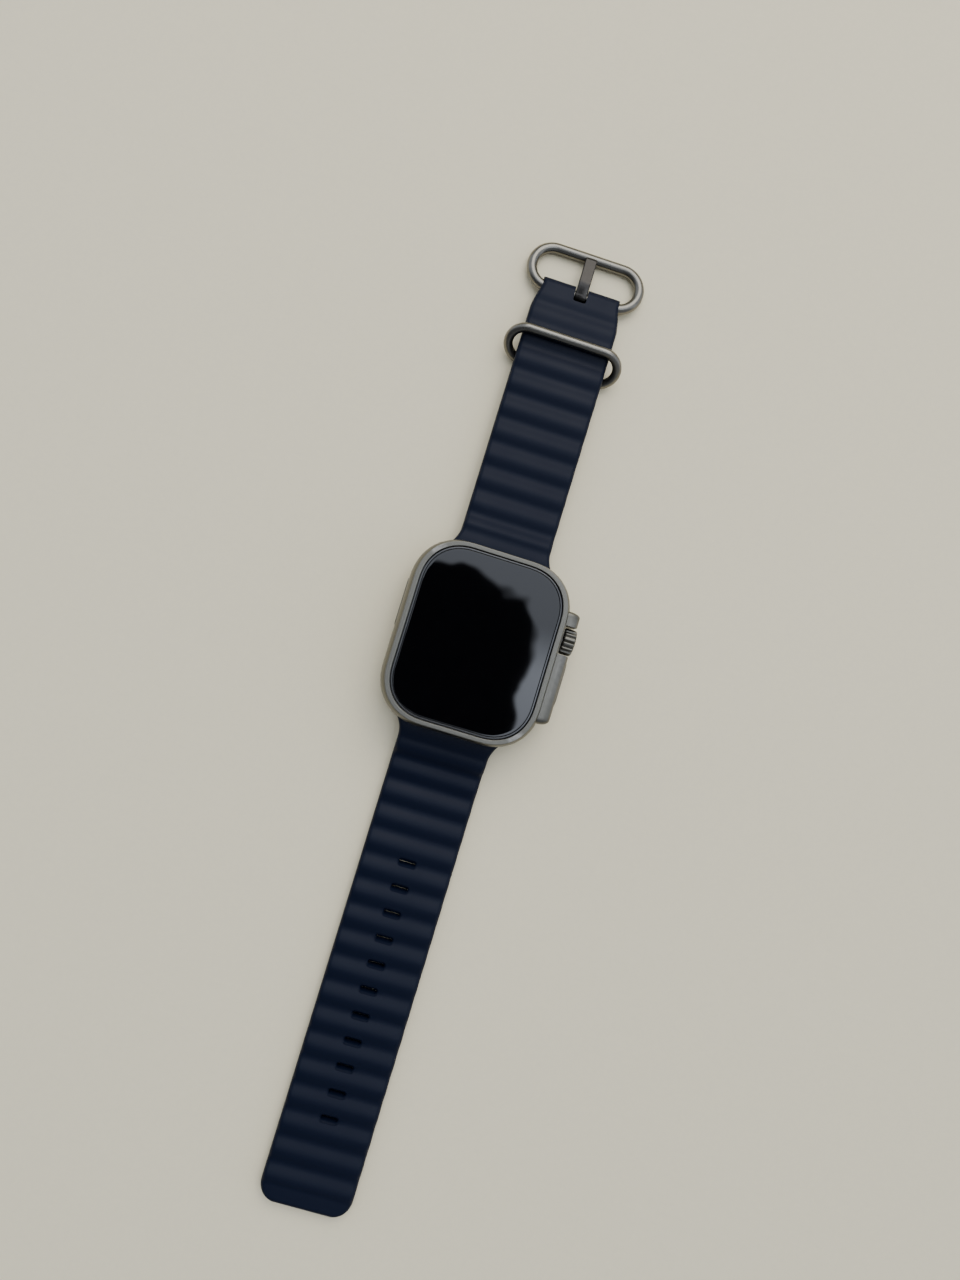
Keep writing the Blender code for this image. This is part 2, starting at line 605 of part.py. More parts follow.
def make_lug(name, side):
    """The rod and neck that hold one strap half in its channel, with its latch pin and release button."""
    y = side * CHANNEL_Y
    half = LUG_LENGTH / 2
    profile = ((0, -half), (LUG_RADIUS - 0.5, -half), (LUG_RADIUS, -half + 0.5),
               (LUG_RADIUS, half - 0.5), (LUG_RADIUS - 0.5, half), (0, half))
    lug = turned("lug", profile, (0, y, CHANNEL_Z), "X", 28)
    low, high = sorted((y, side * (STRAP_START_Y - 0.12)))
    neck = box(f"{name}_neck", (-11.6, low, CHANNEL_Z - 1.0), (11.6, high, CHANNEL_Z + 1.0))
    boolean(lug, neck, "UNION")
    pin_y = side * RELEASE_Y
    boolean(lug, rod(f"{name}_pin_hole", PIN_RADIUS + 0.2, 2.0, 6.6, (0, pin_y, 0), "Z", 16))
    finish(lug, f"{name}_lug", (0.35, 0.34, 0.33), 0.35, 1.0)
    pin = rod("pin", PIN_RADIUS, 3.1, 5.6, (0, pin_y, 0), "Z", 16)
    finish(set_origin(pin, (0, pin_y, 3.1)), f"{name}_latch_pin", (0.5, 0.5, 0.52), 0.3, 1.0)
    outline = stadium(2.4, 0.85, (0, pin_y))
    inset = stadium(2.25, 0.7, (0, pin_y))
    button = stacked("release", [(1.9, inset), (2.05, outline), (3.0, outline)])
    finish(set_origin(button, (0, pin_y, 2)), f"{name}_release_button", TITANIUM, 0.45, 1.0)


# ---------------------------------------------------------------- strap


def make_buckle_strap():
    end = BUCKLE_STRAP.distance(BUCKLE_BAR[0]) + KNUCKLE_RADIUS
    start = BUCKLE_STRAP.distance(STRAP_START_Y)
    cuts = (start, *(valley_place(BUCKLE_WAVE, index) for index in BUCKLE_HINGES), end)
    names = ("buckle_strap_root", "buckle_strap_1", "buckle_strap_2", "buckle_strap_end")
    for index, name in enumerate(names):
        piece = strap_solid(name, BUCKLE_STRAP, buckle_section, cuts[index], cuts[index + 1],
                            index > 0, index < len(names) - 1)
        if name == "buckle_strap_end":
            bar = (0, *BUCKLE_BAR)
            boolean(piece, rod("bar_bore", KNUCKLE_BORE, -20, 20, bar, "X", 24))
            notch = box("tongue_notch", (-NOTCH_HALF, BUCKLE_BAR[0] - TONGUE_KNUCKLE - 0.2, -3),
                        (NOTCH_HALF, BUCKLE_BAR[0] + 6, 9))
            boolean(piece, notch)
        finish(piece, name, STRAP_BLUE, 0.55)


def make_tail_strap():
    hinges = (valley_place(TAIL_WAVE, index) for index in TAIL_HINGES)
    cuts = (TAIL_STRAP.distance(STRAP_START_Y), *hinges, TAIL_TIP)
    count = len(cuts) - 1
    slots = [valley_place(TAIL_WAVE, index) for index in SLOT_VALLEYS]
    for index in range(count):
        name = f"tail_strap_{index}" if index else "tail_strap_root"
        piece = strap_solid(name, TAIL_STRAP, tail_section, cuts[index], cuts[index + 1],
                            index > 0, index < count - 1)
        for number, place in enumerate(slots):
            if cuts[index] < place < cuts[index + 1]:
                (y, _), _ = TAIL_STRAP.at(place)
                outline = stadium(*SLOT_HALF, (0, y), steps=5)
                boolean(piece, stacked(f"strap_slot_{number + 1}", [(-2, outline), (7, outline)]))
        finish(piece, name, STRAP_BLUE, 0.55)


def wire_ring(name, pivot, tilt, height, wire_radius):
    """A closed stadium of round wire whose near bar lies on the pivot, tilted up about that bar."""
    radius = height / 2
    straight = RING_HALF_LENGTH - radius
    flat = []
    for side in (1, -1):
        for step in range(13):
            angle = math.pi * (step / 12 - 0.5)
            across = side * (straight + radius * math.cos(angle))
            flat.append((across, radius + side * radius * math.sin(angle)))
        flat.append((0.0, height if side > 0 else 0.0))
    curve = bpy.data.curves.new(name, "CURVE")
    curve.dimensions = "3D"
    curve.bevel_depth = wire_radius * MM
    curve.bevel_resolution = 3
    spline = curve.splines.new("POLY")
    spline.points.add(len(flat) - 1)
    for point, (x, out) in zip(spline.points, flat):
        y = pivot[0] + out * math.cos(tilt)
        z = pivot[1] + out * math.sin(tilt)
        point.co = (x * MM, y * MM, z * MM, 1)
    spline.use_cyclic_u = True
    wire = bpy.data.objects.new(name, curve)
    bpy.context.scene.collection.objects.link(wire)
    return finish(wire, name, (0.36, 0.33, 0.30), 0.3, 1.0)


def make_buckle():
    y, z = BUCKLE_BAR
    tilt = -math.asin((z - BUCKLE_WIRE - REST_GAP) / BUCKLE_HEIGHT)
    wire_ring("buckle_frame", BUCKLE_BAR, tilt, BUCKLE_HEIGHT, BUCKLE_WIRE)

    turns = [math.radians(angle) for angle in range(34, -271, -16)]
    outline = [(y + TONGUE_KNUCKLE * math.cos(turn), z + TONGUE_KNUCKLE * math.sin(turn)) for turn in turns]
    outline += [(y + 10.3, z + 1.72), (y + 10.65, z + 1.5), (y + 10.75, z + 1.1), (y + 10.6, z + 0.7),
                (y + 10.3, z + 0.55)]
    tongue = prism_x("tongue", outline, -TONGUE_WIDTH / 2, TONGUE_WIDTH / 2)
    boolean(tongue, rod("tongue_bore", TONGUE_BORE, -5, 5, (0, y, z), "X", 24))
    finish(set_origin(tongue, (0, y, z)), "buckle_tongue", (0.4, 0.37, 0.34), 0.25, 1.0)


def main():
    clear_scene()
    make_case_frame()
    make_display_stack()
    make_internals()
    make_back()
    make_crown()
    make_push_button("side_button", 1, SIDE_BUTTON_Y)
    make_push_button("action_button", -1, ACTION_BUTTON_Y)
    make_lug("buckle", 1)
    make_lug("tail", -1)
    make_buckle_strap()
    make_tail_strap()
    make_buckle()
    keeper_pivot = (KEEPER_REAR_Y, KEEPER_WIRE + REST_GAP)
    wire_ring("keeper_loop", keeper_pivot, KEEPER_TILT, KEEPER_HEIGHT, KEEPER_WIRE)


BUCKLE_STRAP = StrapPath(BUCKLE_PATH, 1)
TAIL_STRAP = StrapPath(TAIL_PATH, -1)
main()
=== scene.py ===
"""Looks of a rugged smartwatch on a wavy elastomer strap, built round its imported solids.

The case lies on its back crystal at the origin: +X points to the crown, +Y to the buckle and +Z out of
the display. Sizes are in millimetres and become metres as each mesh is made.
"""

import json
import logging
import math
from dataclasses import dataclass, field
from enum import Enum
from typing import Iterable, Sequence

import bmesh
import bpy
import numpy as np
from mathutils import Matrix, Vector
from numpy.typing import NDArray


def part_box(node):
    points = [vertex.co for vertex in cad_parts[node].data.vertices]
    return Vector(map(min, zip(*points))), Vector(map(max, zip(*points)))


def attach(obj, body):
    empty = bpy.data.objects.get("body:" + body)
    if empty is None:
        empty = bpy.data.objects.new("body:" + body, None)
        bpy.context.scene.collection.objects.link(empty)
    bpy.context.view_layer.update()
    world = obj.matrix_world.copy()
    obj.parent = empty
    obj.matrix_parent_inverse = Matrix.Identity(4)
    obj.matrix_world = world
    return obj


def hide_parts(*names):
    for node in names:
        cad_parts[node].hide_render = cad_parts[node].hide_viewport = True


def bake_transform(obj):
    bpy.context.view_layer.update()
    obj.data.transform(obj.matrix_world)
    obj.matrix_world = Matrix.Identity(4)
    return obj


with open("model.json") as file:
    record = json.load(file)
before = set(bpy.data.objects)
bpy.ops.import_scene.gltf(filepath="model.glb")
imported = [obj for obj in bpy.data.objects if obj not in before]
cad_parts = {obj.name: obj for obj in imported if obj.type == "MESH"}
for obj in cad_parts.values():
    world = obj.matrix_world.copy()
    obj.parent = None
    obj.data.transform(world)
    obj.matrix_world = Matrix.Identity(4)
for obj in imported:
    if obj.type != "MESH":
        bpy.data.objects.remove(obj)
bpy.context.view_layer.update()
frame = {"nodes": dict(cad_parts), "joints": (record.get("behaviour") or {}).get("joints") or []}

LOG = logging.getLogger("smartwatch")
MM = 0.001
Array = NDArray[np.float64]


# ---------------------------------------------------------------- mesh tools


def smoothstep(low: float, high: float, value: Array) -> Array:
    """Cubic step from 0 at low to 1 at high."""
    t = np.clip((np.asarray(value, float) - low) / (high - low), 0.0, 1.0)
    return t * t * (3.0 - 2.0 * t)


def grid_faces(rows: int, columns: int, wrap_rows: bool) -> NDArray[np.int64]:
    """Quads of a grid whose columns close on themselves.

    Args:
        rows: number of rings.
        columns: points in each ring.
        wrap_rows: whether the last ring joins the first.

    Returns:
        An array of four vertex numbers for each quad.
    """
    row = np.arange(rows if wrap_rows else rows - 1)[:, None]
    column = np.arange(columns)[None, :]
    following_row = (row + 1) % rows
    following_column = (column + 1) % columns
    corners = (row * columns + column, row * columns + following_column,
               following_row * columns + following_column, following_row * columns + column)
    return np.stack([corner + np.zeros_like(row + column) for corner in corners], axis=-1).reshape(-1, 4)


def make_mesh(name: str, points: Array, wrap_rows: bool = False, crease: float = 38.0) -> bpy.types.Object:
    """Skins a grid of rings into a closed, smooth-shaded object.

    Args:
        name: the piece's name.
        points: array of shape (rings, points in a ring, 3), in millimetres.
        wrap_rows: joins the last ring to the first; otherwise both end rings are capped.
        crease: edges sharper than this angle in degrees stay crisp.

    Returns:
        The new object, at the origin.
    """
    rows, columns, _ = points.shape
    faces = [tuple(quad) for quad in grid_faces(rows, columns, wrap_rows).tolist()]
    if not wrap_rows:
        faces.append(tuple(range(columns)))
        faces.append(tuple(range((rows - 1) * columns, rows * columns)))
    mesh = bpy.data.meshes.new(name)
    mesh.from_pydata((points.reshape(-1, 3) * MM).tolist(), [], faces)
    obj = bpy.data.objects.new(name, mesh)
    bpy.context.scene.collection.objects.link(obj)
    tidy_mesh(obj, crease)
    return obj


def tidy_mesh(obj: bpy.types.Object, crease: float = 38.0) -> None:
    """Merges doubles, turns faces outwards and sets smooth shading with crisp creases.

    Args:
        obj: the piece.
        crease: edges sharper than this angle in degrees stay crisp.
    """
    bm = bmesh.new()
    bm.from_mesh(obj.data)
    bmesh.ops.remove_doubles(bm, verts=bm.verts, dist=1e-7)
    bmesh.ops.recalc_face_normals(bm, faces=bm.faces)
    bm.to_mesh(obj.data)
    bm.free()
    obj.data.shade_smooth()
    obj.data.set_sharp_from_angle(angle=math.radians(crease))


def carve(obj: bpy.types.Object, cutters: Iterable[bpy.types.Object], operation: str = "DIFFERENCE",
          crease: float = 38.0) -> None:
    """Applies exact Booleans with a run of cutters, then removes the cutters.

    Args:
        obj: the piece that is cut or added to.
        cutters: closed meshes, used in order.
        operation: DIFFERENCE or UNION.
        crease: angle in degrees for the crisp edges left by the cuts.
    """
    cutters = list(cutters)
    for cutter in cutters:
        modifier = obj.modifiers.new(cutter.name, "BOOLEAN")
        modifier.object = cutter
        modifier.operation = operation
        modifier.solver = "EXACT"
    graph = bpy.context.evaluated_depsgraph_get()
    cut = bpy.data.meshes.new_from_object(obj.evaluated_get(graph))
    obj.modifiers.clear()
    obj.data = cut
    for cutter in cutters:
        bpy.data.objects.remove(cutter, do_unlink=True)
    tidy_mesh(obj, crease)


def superellipse_outline(half_x: float, half_y: float, corner: float, steps: int = 14,
                         power: float = 2.25) -> Array:
    """Outline of a rounded rectangle with soft corners.

    Each corner is a quarter of a superellipse: its sides run in as the cosine and sine raised to
    two over the power, so the curvature eases in from the straight sides.

    Args:
        half_x: half the width.
        half_y: half the length.
        corner: how far each corner reaches along both sides.
        steps: pieces in each corner.
        power: 2 is a circle, and more is squarer.

    Returns:
        Points of shape (n, 2), counter-clockwise.
    """
    angle = np.linspace(0.0, math.pi / 2, steps + 1)
    bend_x = np.cos(angle) ** (2 / power)
    bend_y = np.sin(angle) ** (2 / power)
    quarter = np.stack((half_x - corner + corner * bend_x, half_y - corner + corner * bend_y), axis=-1)
    mirrored = quarter[::-1]
    return np.concatenate((quarter, mirrored * (-1, 1), quarter * (-1, -1), mirrored * (1, -1)))


def ring_at(outline: Array, height: float) -> Array:
    """Lifts a flat outline to a height along Z."""
    return np.concatenate((outline, np.full((len(outline), 1), height)), axis=1)


def stadium_outline(half_length: float, radius: float, steps: int = 14) -> Array:
    """Outline of a slot with round ends, long in its first direction.

    Args:
        half_length: half the length, round ends included.
        radius: half the width.
        steps: pieces in each round end.

    Returns:
        Points of shape (n, 2).
    """
    angle = np.linspace(-math.pi / 2, math.pi / 2, steps + 1)
    cap = np.stack((half_length - radius + radius * np.cos(angle), radius * np.sin(angle)), axis=-1)
    return np.concatenate((cap, -cap))


def turned_surface(profile: Sequence[tuple[float, float]], centre: Sequence[float], axis: str = "Z",
                   steps: int = 72) -> Array:
    """Rings of a turned shape: each (radius, height) point becomes a circle round the axis.

    Args:
        profile: radii and heights along the axis.
        centre: a point on the axis.
        axis: X or Z.
        steps: points in each circle.

    Returns:
        Points of shape (len(profile), steps, 3).
    """
    radius, height = (np.array(column, float)[:, None] for column in zip(*profile))
    angle = np.linspace(0.0, math.tau, steps, endpoint=False)[None, :]
    across, up, along = radius * np.cos(angle), radius * np.sin(angle), height + 0.0 * angle
    order = (along, across, up) if axis == "X" else (across, up, along)
    return np.stack(order, axis=-1) + np.array(centre, float)


def rounded_profile(points: Sequence[tuple[float, float, float]], steps: int = 5) -> Array:
    """Rounds the corners of a profile: each corner becomes a quadratic curve.

    A corner at (a, b) with reach r starts r before it and ends r after it on its two sides.

    Args:
        points: (first, second, reach) for each corner.
        steps: pieces in each rounded corner.

    Returns:
        Points of shape (n, 2).
    """
    places = np.array([point[:2] for point in points], float)
    found = [places[0]]
    for index in range(1, len(places) - 1):
        before, here, after = places[index - 1:index + 2]
        reach = points[index][2]
        if reach <= 0:
            found.append(here)
            continue
        start = here + (before - here) * min(reach / np.linalg.norm(before - here), 0.49)
        end = here + (after - here) * min(reach / np.linalg.norm(after - here), 0.49)
        t = np.linspace(0.0, 1.0, steps + 1)[:, None]
        found.extend((1 - t) ** 2 * start + 2 * t * (1 - t) * here + t * t * end)
    found.append(places[-1])
    return np.array(found)


def block(name: str, low: Sequence[float], high: Sequence[float]) -> bpy.types.Object:
    """A plain box between two corners, for cutting.

    Args:
        name: the cutter's name.
        low: its lowest corner.
        high: its highest corner.

    Returns:
        The closed object.
    """
    low, high = np.array(low, float), np.array(high, float)
    square = np.array([(0, 0), (1, 0), (1, 1), (0, 1)], float)
    rings = [np.concatenate((square, np.full((4, 1), level)), axis=1) for level in (0.0, 1.0)]
    return make_mesh(name, low + np.array(rings) * (high - low))


def slot_prism(name: str, rings: Sequence[tuple[float, float, float]], centre: Sequence[float],
               axis: str = "Z", upright: bool = False) -> bpy.types.Object:
    """A slot-shaped prism whose size may change along its axis.

    Args:
        name: the piece's name.
        rings: (place along the axis, half length, radius) of each ring.
        centre: a point on the axis.
        axis: X or Z.
        upright: turns the slot's long side from Y to Z on the X axis, or from X to Y on the Z axis.

    Returns:
        The closed object.
    """
    levels = []
    for place, half_length, radius in rings:
        outline = stadium_outline(half_length, radius)
        if upright:
            outline = outline[:, ::-1]
        along = np.full((len(outline), 1), place)
        parts = (along, outline) if axis == "X" else (outline, along)
        levels.append(np.concatenate(parts, axis=1))
    return make_mesh(name, np.array(levels) + np.array(centre, float))


def joint(name: str) -> dict:
    """The record's entry of a joint."""
    return next(entry for entry in frame["joints"] if entry["name"] == name)


def joint_place(name: str) -> Array:
    """A hinge's place in millimetres."""
    return np.array(joint(name)["pos_m"], float) / MM


def node_box(name: str) -> tuple[Array, Array]:
    """Lowest and highest corners of a CAD node in millimetres."""
    low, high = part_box(name)
    return np.array(low) / MM, np.array(high) / MM


def report(piece: bpy.types.Object) -> None:
    """Logs a piece's name and triangle count."""
    piece.data.calc_loop_triangles()
    LOG.info("%s: %d triangles", piece.name, len(piece.data.loop_triangles))


# ---------------------------------------------------------------- node groups


def add_group(name: str, inputs: Sequence[tuple[str, float]],
              outputs: Sequence[str]) -> tuple[bpy.types.NodeTree, bpy.types.Node, bpy.types.Node]:
    """Starts a shader node group with float inputs and outputs.

    Args:
        name: the group's name.
        inputs: label and usual value of each input.
        outputs: label of each output.

    Returns:
        The group with its input and output nodes.
    """
    group = bpy.data.node_groups.new(name, "ShaderNodeTree")
    for label, value in inputs:
        group.interface.new_socket(label, in_out="INPUT", socket_type="NodeSocketFloat").default_value = value
    for label in outputs:
        group.interface.new_socket(label, in_out="OUTPUT", socket_type="NodeSocketFloat")
    return group, group.nodes.new("NodeGroupInput"), group.nodes.new("NodeGroupOutput")


def math_node(tree: bpy.types.NodeTree, operation: str, first: object,
              second: object) -> bpy.types.NodeSocket:
    """A Math node on two sockets or numbers.

    Args:
        tree: the node tree.
        operation: the Math node's operation.
        first: a socket or a number.
        second: a socket or a number.

    Returns:
        The result's socket.
    """
    node = tree.nodes.new("ShaderNodeMath")
    node.operation = operation
    for socket, value in zip(node.inputs, (first, second)):
        if isinstance(value, bpy.types.NodeSocket):
            tree.links.new(value, socket)
        else:
            socket.default_value = value
    return node.outputs[0]


def remap(tree: bpy.types.NodeTree, value: bpy.types.NodeSocket, low: object,
          high: object) -> bpy.types.NodeSocket:
    """Spreads a noise value, which keeps near 0.5, over the run from low to high.

    Args:
        tree: the node tree.
        value: the noise.
        low: the result at 0.3, a socket or a number.
        high: the result at 0.7, a socket or a number.

    Returns:
        The result's socket.
    """
    node = tree.nodes.new("ShaderNodeMapRange")
    node.inputs["From Min"].default_value = 0.3
    node.inputs["From Max"].default_value = 0.7
    tree.links.new(value, node.inputs["Value"])
    for label, end in (("To Min", low), ("To Max", high)):
        if isinstance(end, bpy.types.NodeSocket):
            tree.links.new(end, node.inputs[label])
        else:
            node.inputs[label].default_value = end
    return node.outputs["Result"]


class Effects:
    """The node groups that several finishes share."""

    def __init__(self) -> None:
        """Builds each group once."""
        self.grain = self._grain()
        self.handling = self._handling()
        self.edge_wear = self._edge_wear()

    @staticmethod
    def _noise(tree: bpy.types.NodeTree, scale: object, detail: float,
               stretch: tuple[float, float, float] = (1, 1, 1)) -> bpy.types.NodeSocket:
        """Noise on Object coordinates, stretched along the axes.

        Args:
            tree: the node tree.
            scale: the noise's scale, a socket or a number.
            detail: the noise's detail.
            stretch: scale of the coordinates on each axis.

        Returns:
            The noise's socket, from 0 to 1.
        """
        place = tree.nodes.new("ShaderNodeTexCoord")
        mapping = tree.nodes.new("ShaderNodeMapping")
        mapping.inputs["Scale"].default_value = stretch
        noise = tree.nodes.new("ShaderNodeTexNoise")
        noise.inputs["Detail"].default_value = detail
        tree.links.new(place.outputs["Object"], mapping.inputs["Vector"])
        tree.links.new(mapping.outputs["Vector"], noise.inputs["Vector"])
        if isinstance(scale, bpy.types.NodeSocket):
            tree.links.new(scale, noise.inputs["Scale"])
        else:
            noise.inputs["Scale"].default_value = scale
        return noise.outputs["Fac"]

    def _grain(self) -> bpy.types.NodeTree:
        """Fine pitting: the sum of two noises, as a height and a mask.

        Returns:
            The node group.
        """
        group, start, end = add_group("Grain", (("Scale", 9000.0), ("Depth", 1.0)), ("Height", "Mask"))
        fine = self._noise(group, start.outputs["Scale"], 2.0)
        broad = self._noise(group, math_node(group, "MULTIPLY", start.outputs["Scale"], 0.31), 2.0)
        both = math_node(group, "ADD", math_node(group, "MULTIPLY", fine, 0.65),
                         math_node(group, "MULTIPLY", broad, 0.35))
        group.links.new(math_node(group, "MULTIPLY", both, start.outputs["Depth"]), end.inputs["Height"])
        group.links.new(remap(group, both, 0.0, 1.0), end.inputs["Mask"])
        return group

    def _handling(self) -> bpy.types.NodeTree:
        """Smears left by handling: broad noise between a low and a high value.

        Returns:
            The node group.
        """
        group, start, end = add_group("Handling", (("Scale", 90.0), ("Low", 0.3), ("High", 0.5)), ("Value",))
        smear = self._noise(group, start.outputs["Scale"], 4.0, (1.0, 0.45, 1.0))
        group.links.new(remap(group, smear, start.outputs["Low"], start.outputs["High"]), end.inputs["Value"])
        return group

    def _edge_wear(self) -> bpy.types.NodeTree:
        """Rubbed edges: convex places, broken up by noise, as a mask.

        Returns:
            The node group.
        """
        group, start, end = add_group("Edge wear", (("From", 0.52), ("To", 0.62)), ("Mask",))
        geometry = group.nodes.new("ShaderNodeNewGeometry")
        rise = group.nodes.new("ShaderNodeMapRange")
        group.links.new(geometry.outputs["Pointiness"], rise.inputs["Value"])
        group.links.new(start.outputs["From"], rise.inputs["From Min"])
        group.links.new(start.outputs["To"], rise.inputs["From Max"])
        broken = remap(group, self._noise(group, 900.0, 3.0), 0.2, 1.0)
        group.links.new(math_node(group, "MULTIPLY", rise.outputs["Result"], broken), end.inputs["Mask"])
        return group


EFFECTS = Effects()


# ---------------------------------------------------------------- finishes


@dataclass(frozen=True)
class Finish:
    """A procedural finish: a Principled shader with grain, handling smears and optional edge wear."""

    name: str
    color: tuple[float, float, float]
    second_color: tuple[float, float, float]
    roughness: tuple[float, float]
    metallic: float = 0.0
    specular: float = 0.5
    grain_scale: float = 9000.0
    grain_depth: float = 0.3
    bump_distance: float = 0.00002
    smear_scale: float = 90.0
    worn_color: tuple[float, float, float] | None = None
    coat: float = 0.0

    def build(self) -> bpy.types.Material:
        """Makes the material, or returns the one already made.

        Returns:
            The material.
        """
        known = bpy.data.materials.get(self.name)
        if known is not None:
            return known
        material = bpy.data.materials.new(self.name)
        material.use_nodes = True
        tree = material.node_tree
        shader = tree.nodes["Principled BSDF"]
        shader.inputs["Metallic"].default_value = self.metallic
        shader.inputs["Specular IOR Level"].default_value = self.specular
        shader.inputs["Coat Weight"].default_value = self.coat
        grain = self._group(tree, EFFECTS.grain, Scale=self.grain_scale, Depth=1.0)
        smear = self._group(tree, EFFECTS.handling, Scale=self.smear_scale,
                            Low=self.roughness[0], High=self.roughness[1])
        color = self._mix(tree, grain.outputs["Mask"], self.color, self.second_color)
        if self.worn_color is not None:
            wear = self._group(tree, EFFECTS.edge_wear, From=0.515, To=0.6)
            color = self._mix(tree, wear.outputs["Mask"], color, self.worn_color)
        tree.links.new(color, shader.inputs["Base Color"])
        tree.links.new(smear.outputs["Value"], shader.inputs["Roughness"])
        bump = tree.nodes.new("ShaderNodeBump")
        bump.inputs["Strength"].default_value = self.grain_depth
        bump.inputs["Distance"].default_value = self.bump_distance
        tree.links.new(grain.outputs["Height"], bump.inputs["Height"])
        tree.links.new(bump.outputs["Normal"], shader.inputs["Normal"])
        return material

    @staticmethod
    def _group(tree: bpy.types.NodeTree, group: bpy.types.NodeTree, **values: float) -> bpy.types.Node:
        """Places a shared effect with its own values.

        Args:
            tree: the node tree.
            group: the effect.
            values: a value for each of its inputs.

        Returns:
            The group node.
        """
        node = tree.nodes.new("ShaderNodeGroup")
        node.node_tree = group
        for label, value in values.items():
            node.inputs[label].default_value = value
        return node

    @staticmethod
    def _mix(tree: bpy.types.NodeTree, factor: bpy.types.NodeSocket, first: object,
             second: object) -> bpy.types.NodeSocket:
        """Mixes two colours, each a socket or three numbers.

        Args:
            tree: the node tree.
            factor: how far towards the second colour.
            first: the colour at 0.
            second: the colour at 1.

        Returns:
            The mixed colour's socket.
        """
        node = tree.nodes.new("ShaderNodeMix")
        node.data_type = "RGBA"
        tree.links.new(factor, node.inputs[0])
        for socket, value in ((node.inputs[6], first), (node.inputs[7], second)):
            if isinstance(value, bpy.types.NodeSocket):
                tree.links.new(value, socket)
            else:
                socket.default_value = (*value, 1.0)
        return node.outputs[2]


BLASTED_TITANIUM = Finish("blasted titanium", (0.130, 0.126, 0.108), (0.162, 0.157, 0.136), (0.34, 0.44),
                          metallic=1.0, grain_scale=11000.0, grain_depth=0.35,
                          worn_color=(0.30, 0.29, 0.265))
SATIN_WIRE = Finish("satin wire", (0.168, 0.160, 0.139), (0.206, 0.197, 0.171), (0.24, 0.34), metallic=1.0,
                    grain_scale=6000.0, grain_depth=0.12, worn_color=(0.5, 0.47, 0.44))
# Painted reflection: the tongue is the same titanium as the wire, but its base colour is painted about five
# times darker to stand in for the dark surroundings that its faces mirror.
TONGUE_TITANIUM_PAINTED_DARK = Finish("dark satin tongue", (0.034, 0.032, 0.029), (0.046, 0.043, 0.040), (0.18, 0.26),
                      metallic=1.0, grain_scale=6000.0, grain_depth=0.08)
WAVY_ELASTOMER = Finish("wavy elastomer", (0.0030, 0.0059, 0.0170), (0.0040, 0.0071, 0.0200), (0.40, 0.5),
                        specular=0.15, grain_scale=8000.0, grain_depth=0.18, smear_scale=60.0)
DISPLAY_GLASS = Finish("display glass", (0.0015, 0.0015, 0.002), (0.002, 0.002, 0.0025), (0.015, 0.03),
                       grain_scale=300.0, grain_depth=0.0, smear_scale=45.0)
CRYSTAL_EDGE = Finish("polished crystal edge", (0.018, 0.018, 0.019), (0.026, 0.026, 0.028), (0.14, 0.2),
                      specular=0.7, grain_scale=3000.0, grain_depth=0.02)
CERAMIC = Finish("black ceramic", (0.006, 0.006, 0.007), (0.009, 0.009, 0.010), (0.16, 0.26),
                 grain_scale=5000.0, grain_depth=0.04)
STEEL = Finish("machined steel", (0.50, 0.50, 0.51), (0.60, 0.60, 0.61), (0.24, 0.36), metallic=1.0,
               grain_scale=4000.0, grain_depth=0.1)
SEAL = Finish("seal rubber", (0.012, 0.012, 0.012), (0.02, 0.02, 0.02), (0.6, 0.75), grain_scale=5000.0)
PLASTIC = Finish("black plastic", (0.012, 0.012, 0.013), (0.018, 0.018, 0.02), (0.42, 0.55),
                 grain_scale=6000.0)
BOARD = Finish("circuit board", (0.006, 0.05, 0.028), (0.01, 0.075, 0.04), (0.35, 0.5), grain_scale=900.0)
COPPER = Finish("wound copper", (0.6, 0.28, 0.13), (0.72, 0.36, 0.18), (0.25, 0.4), metallic=1.0,
                grain_scale=2500.0)
LENS = Finish("emitter lens", (0.01, 0.10, 0.03), (0.015, 0.16, 0.05), (0.08, 0.14), coat=0.5,
              grain_scale=2500.0, grain_depth=0.02)
SENSOR_GLASS = Finish("sensor crystal", (0.004, 0.0045, 0.006), (0.006, 0.007, 0.009), (0.05, 0.1),
                      specular=0.6, coat=0.3, grain_scale=400.0, grain_depth=0.0)


def dress(obj: bpy.types.Object, finish: Finish) -> None:
    """Gives an object one finish in all its material slots.

    Args:
        obj: the object.
        finish: its finish.
    """
    material = finish.build()
    if not obj.data.materials:
        obj.data.materials.append(material)
    for slot in obj.material_slots:
        slot.material = material


def place(piece: bpy.types.Object, body: str, slot: str, finish: Finish, *nodes: str) -> bpy.types.Object:
    """Dresses a piece, rides it on a body and lets it stand for CAD nodes.

    Args:
        piece: the piece.
        body: the body it rides on.
        slot: the record's material; not used.
        finish: its finish.
        nodes: the CAD nodes it stands for.

    Returns:
        The piece.
    """
    dress(piece, finish)
    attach(piece, body)
    if nodes:
        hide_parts(*nodes)
    report(piece)
    return piece


# ---------------------------------------------------------------- studio


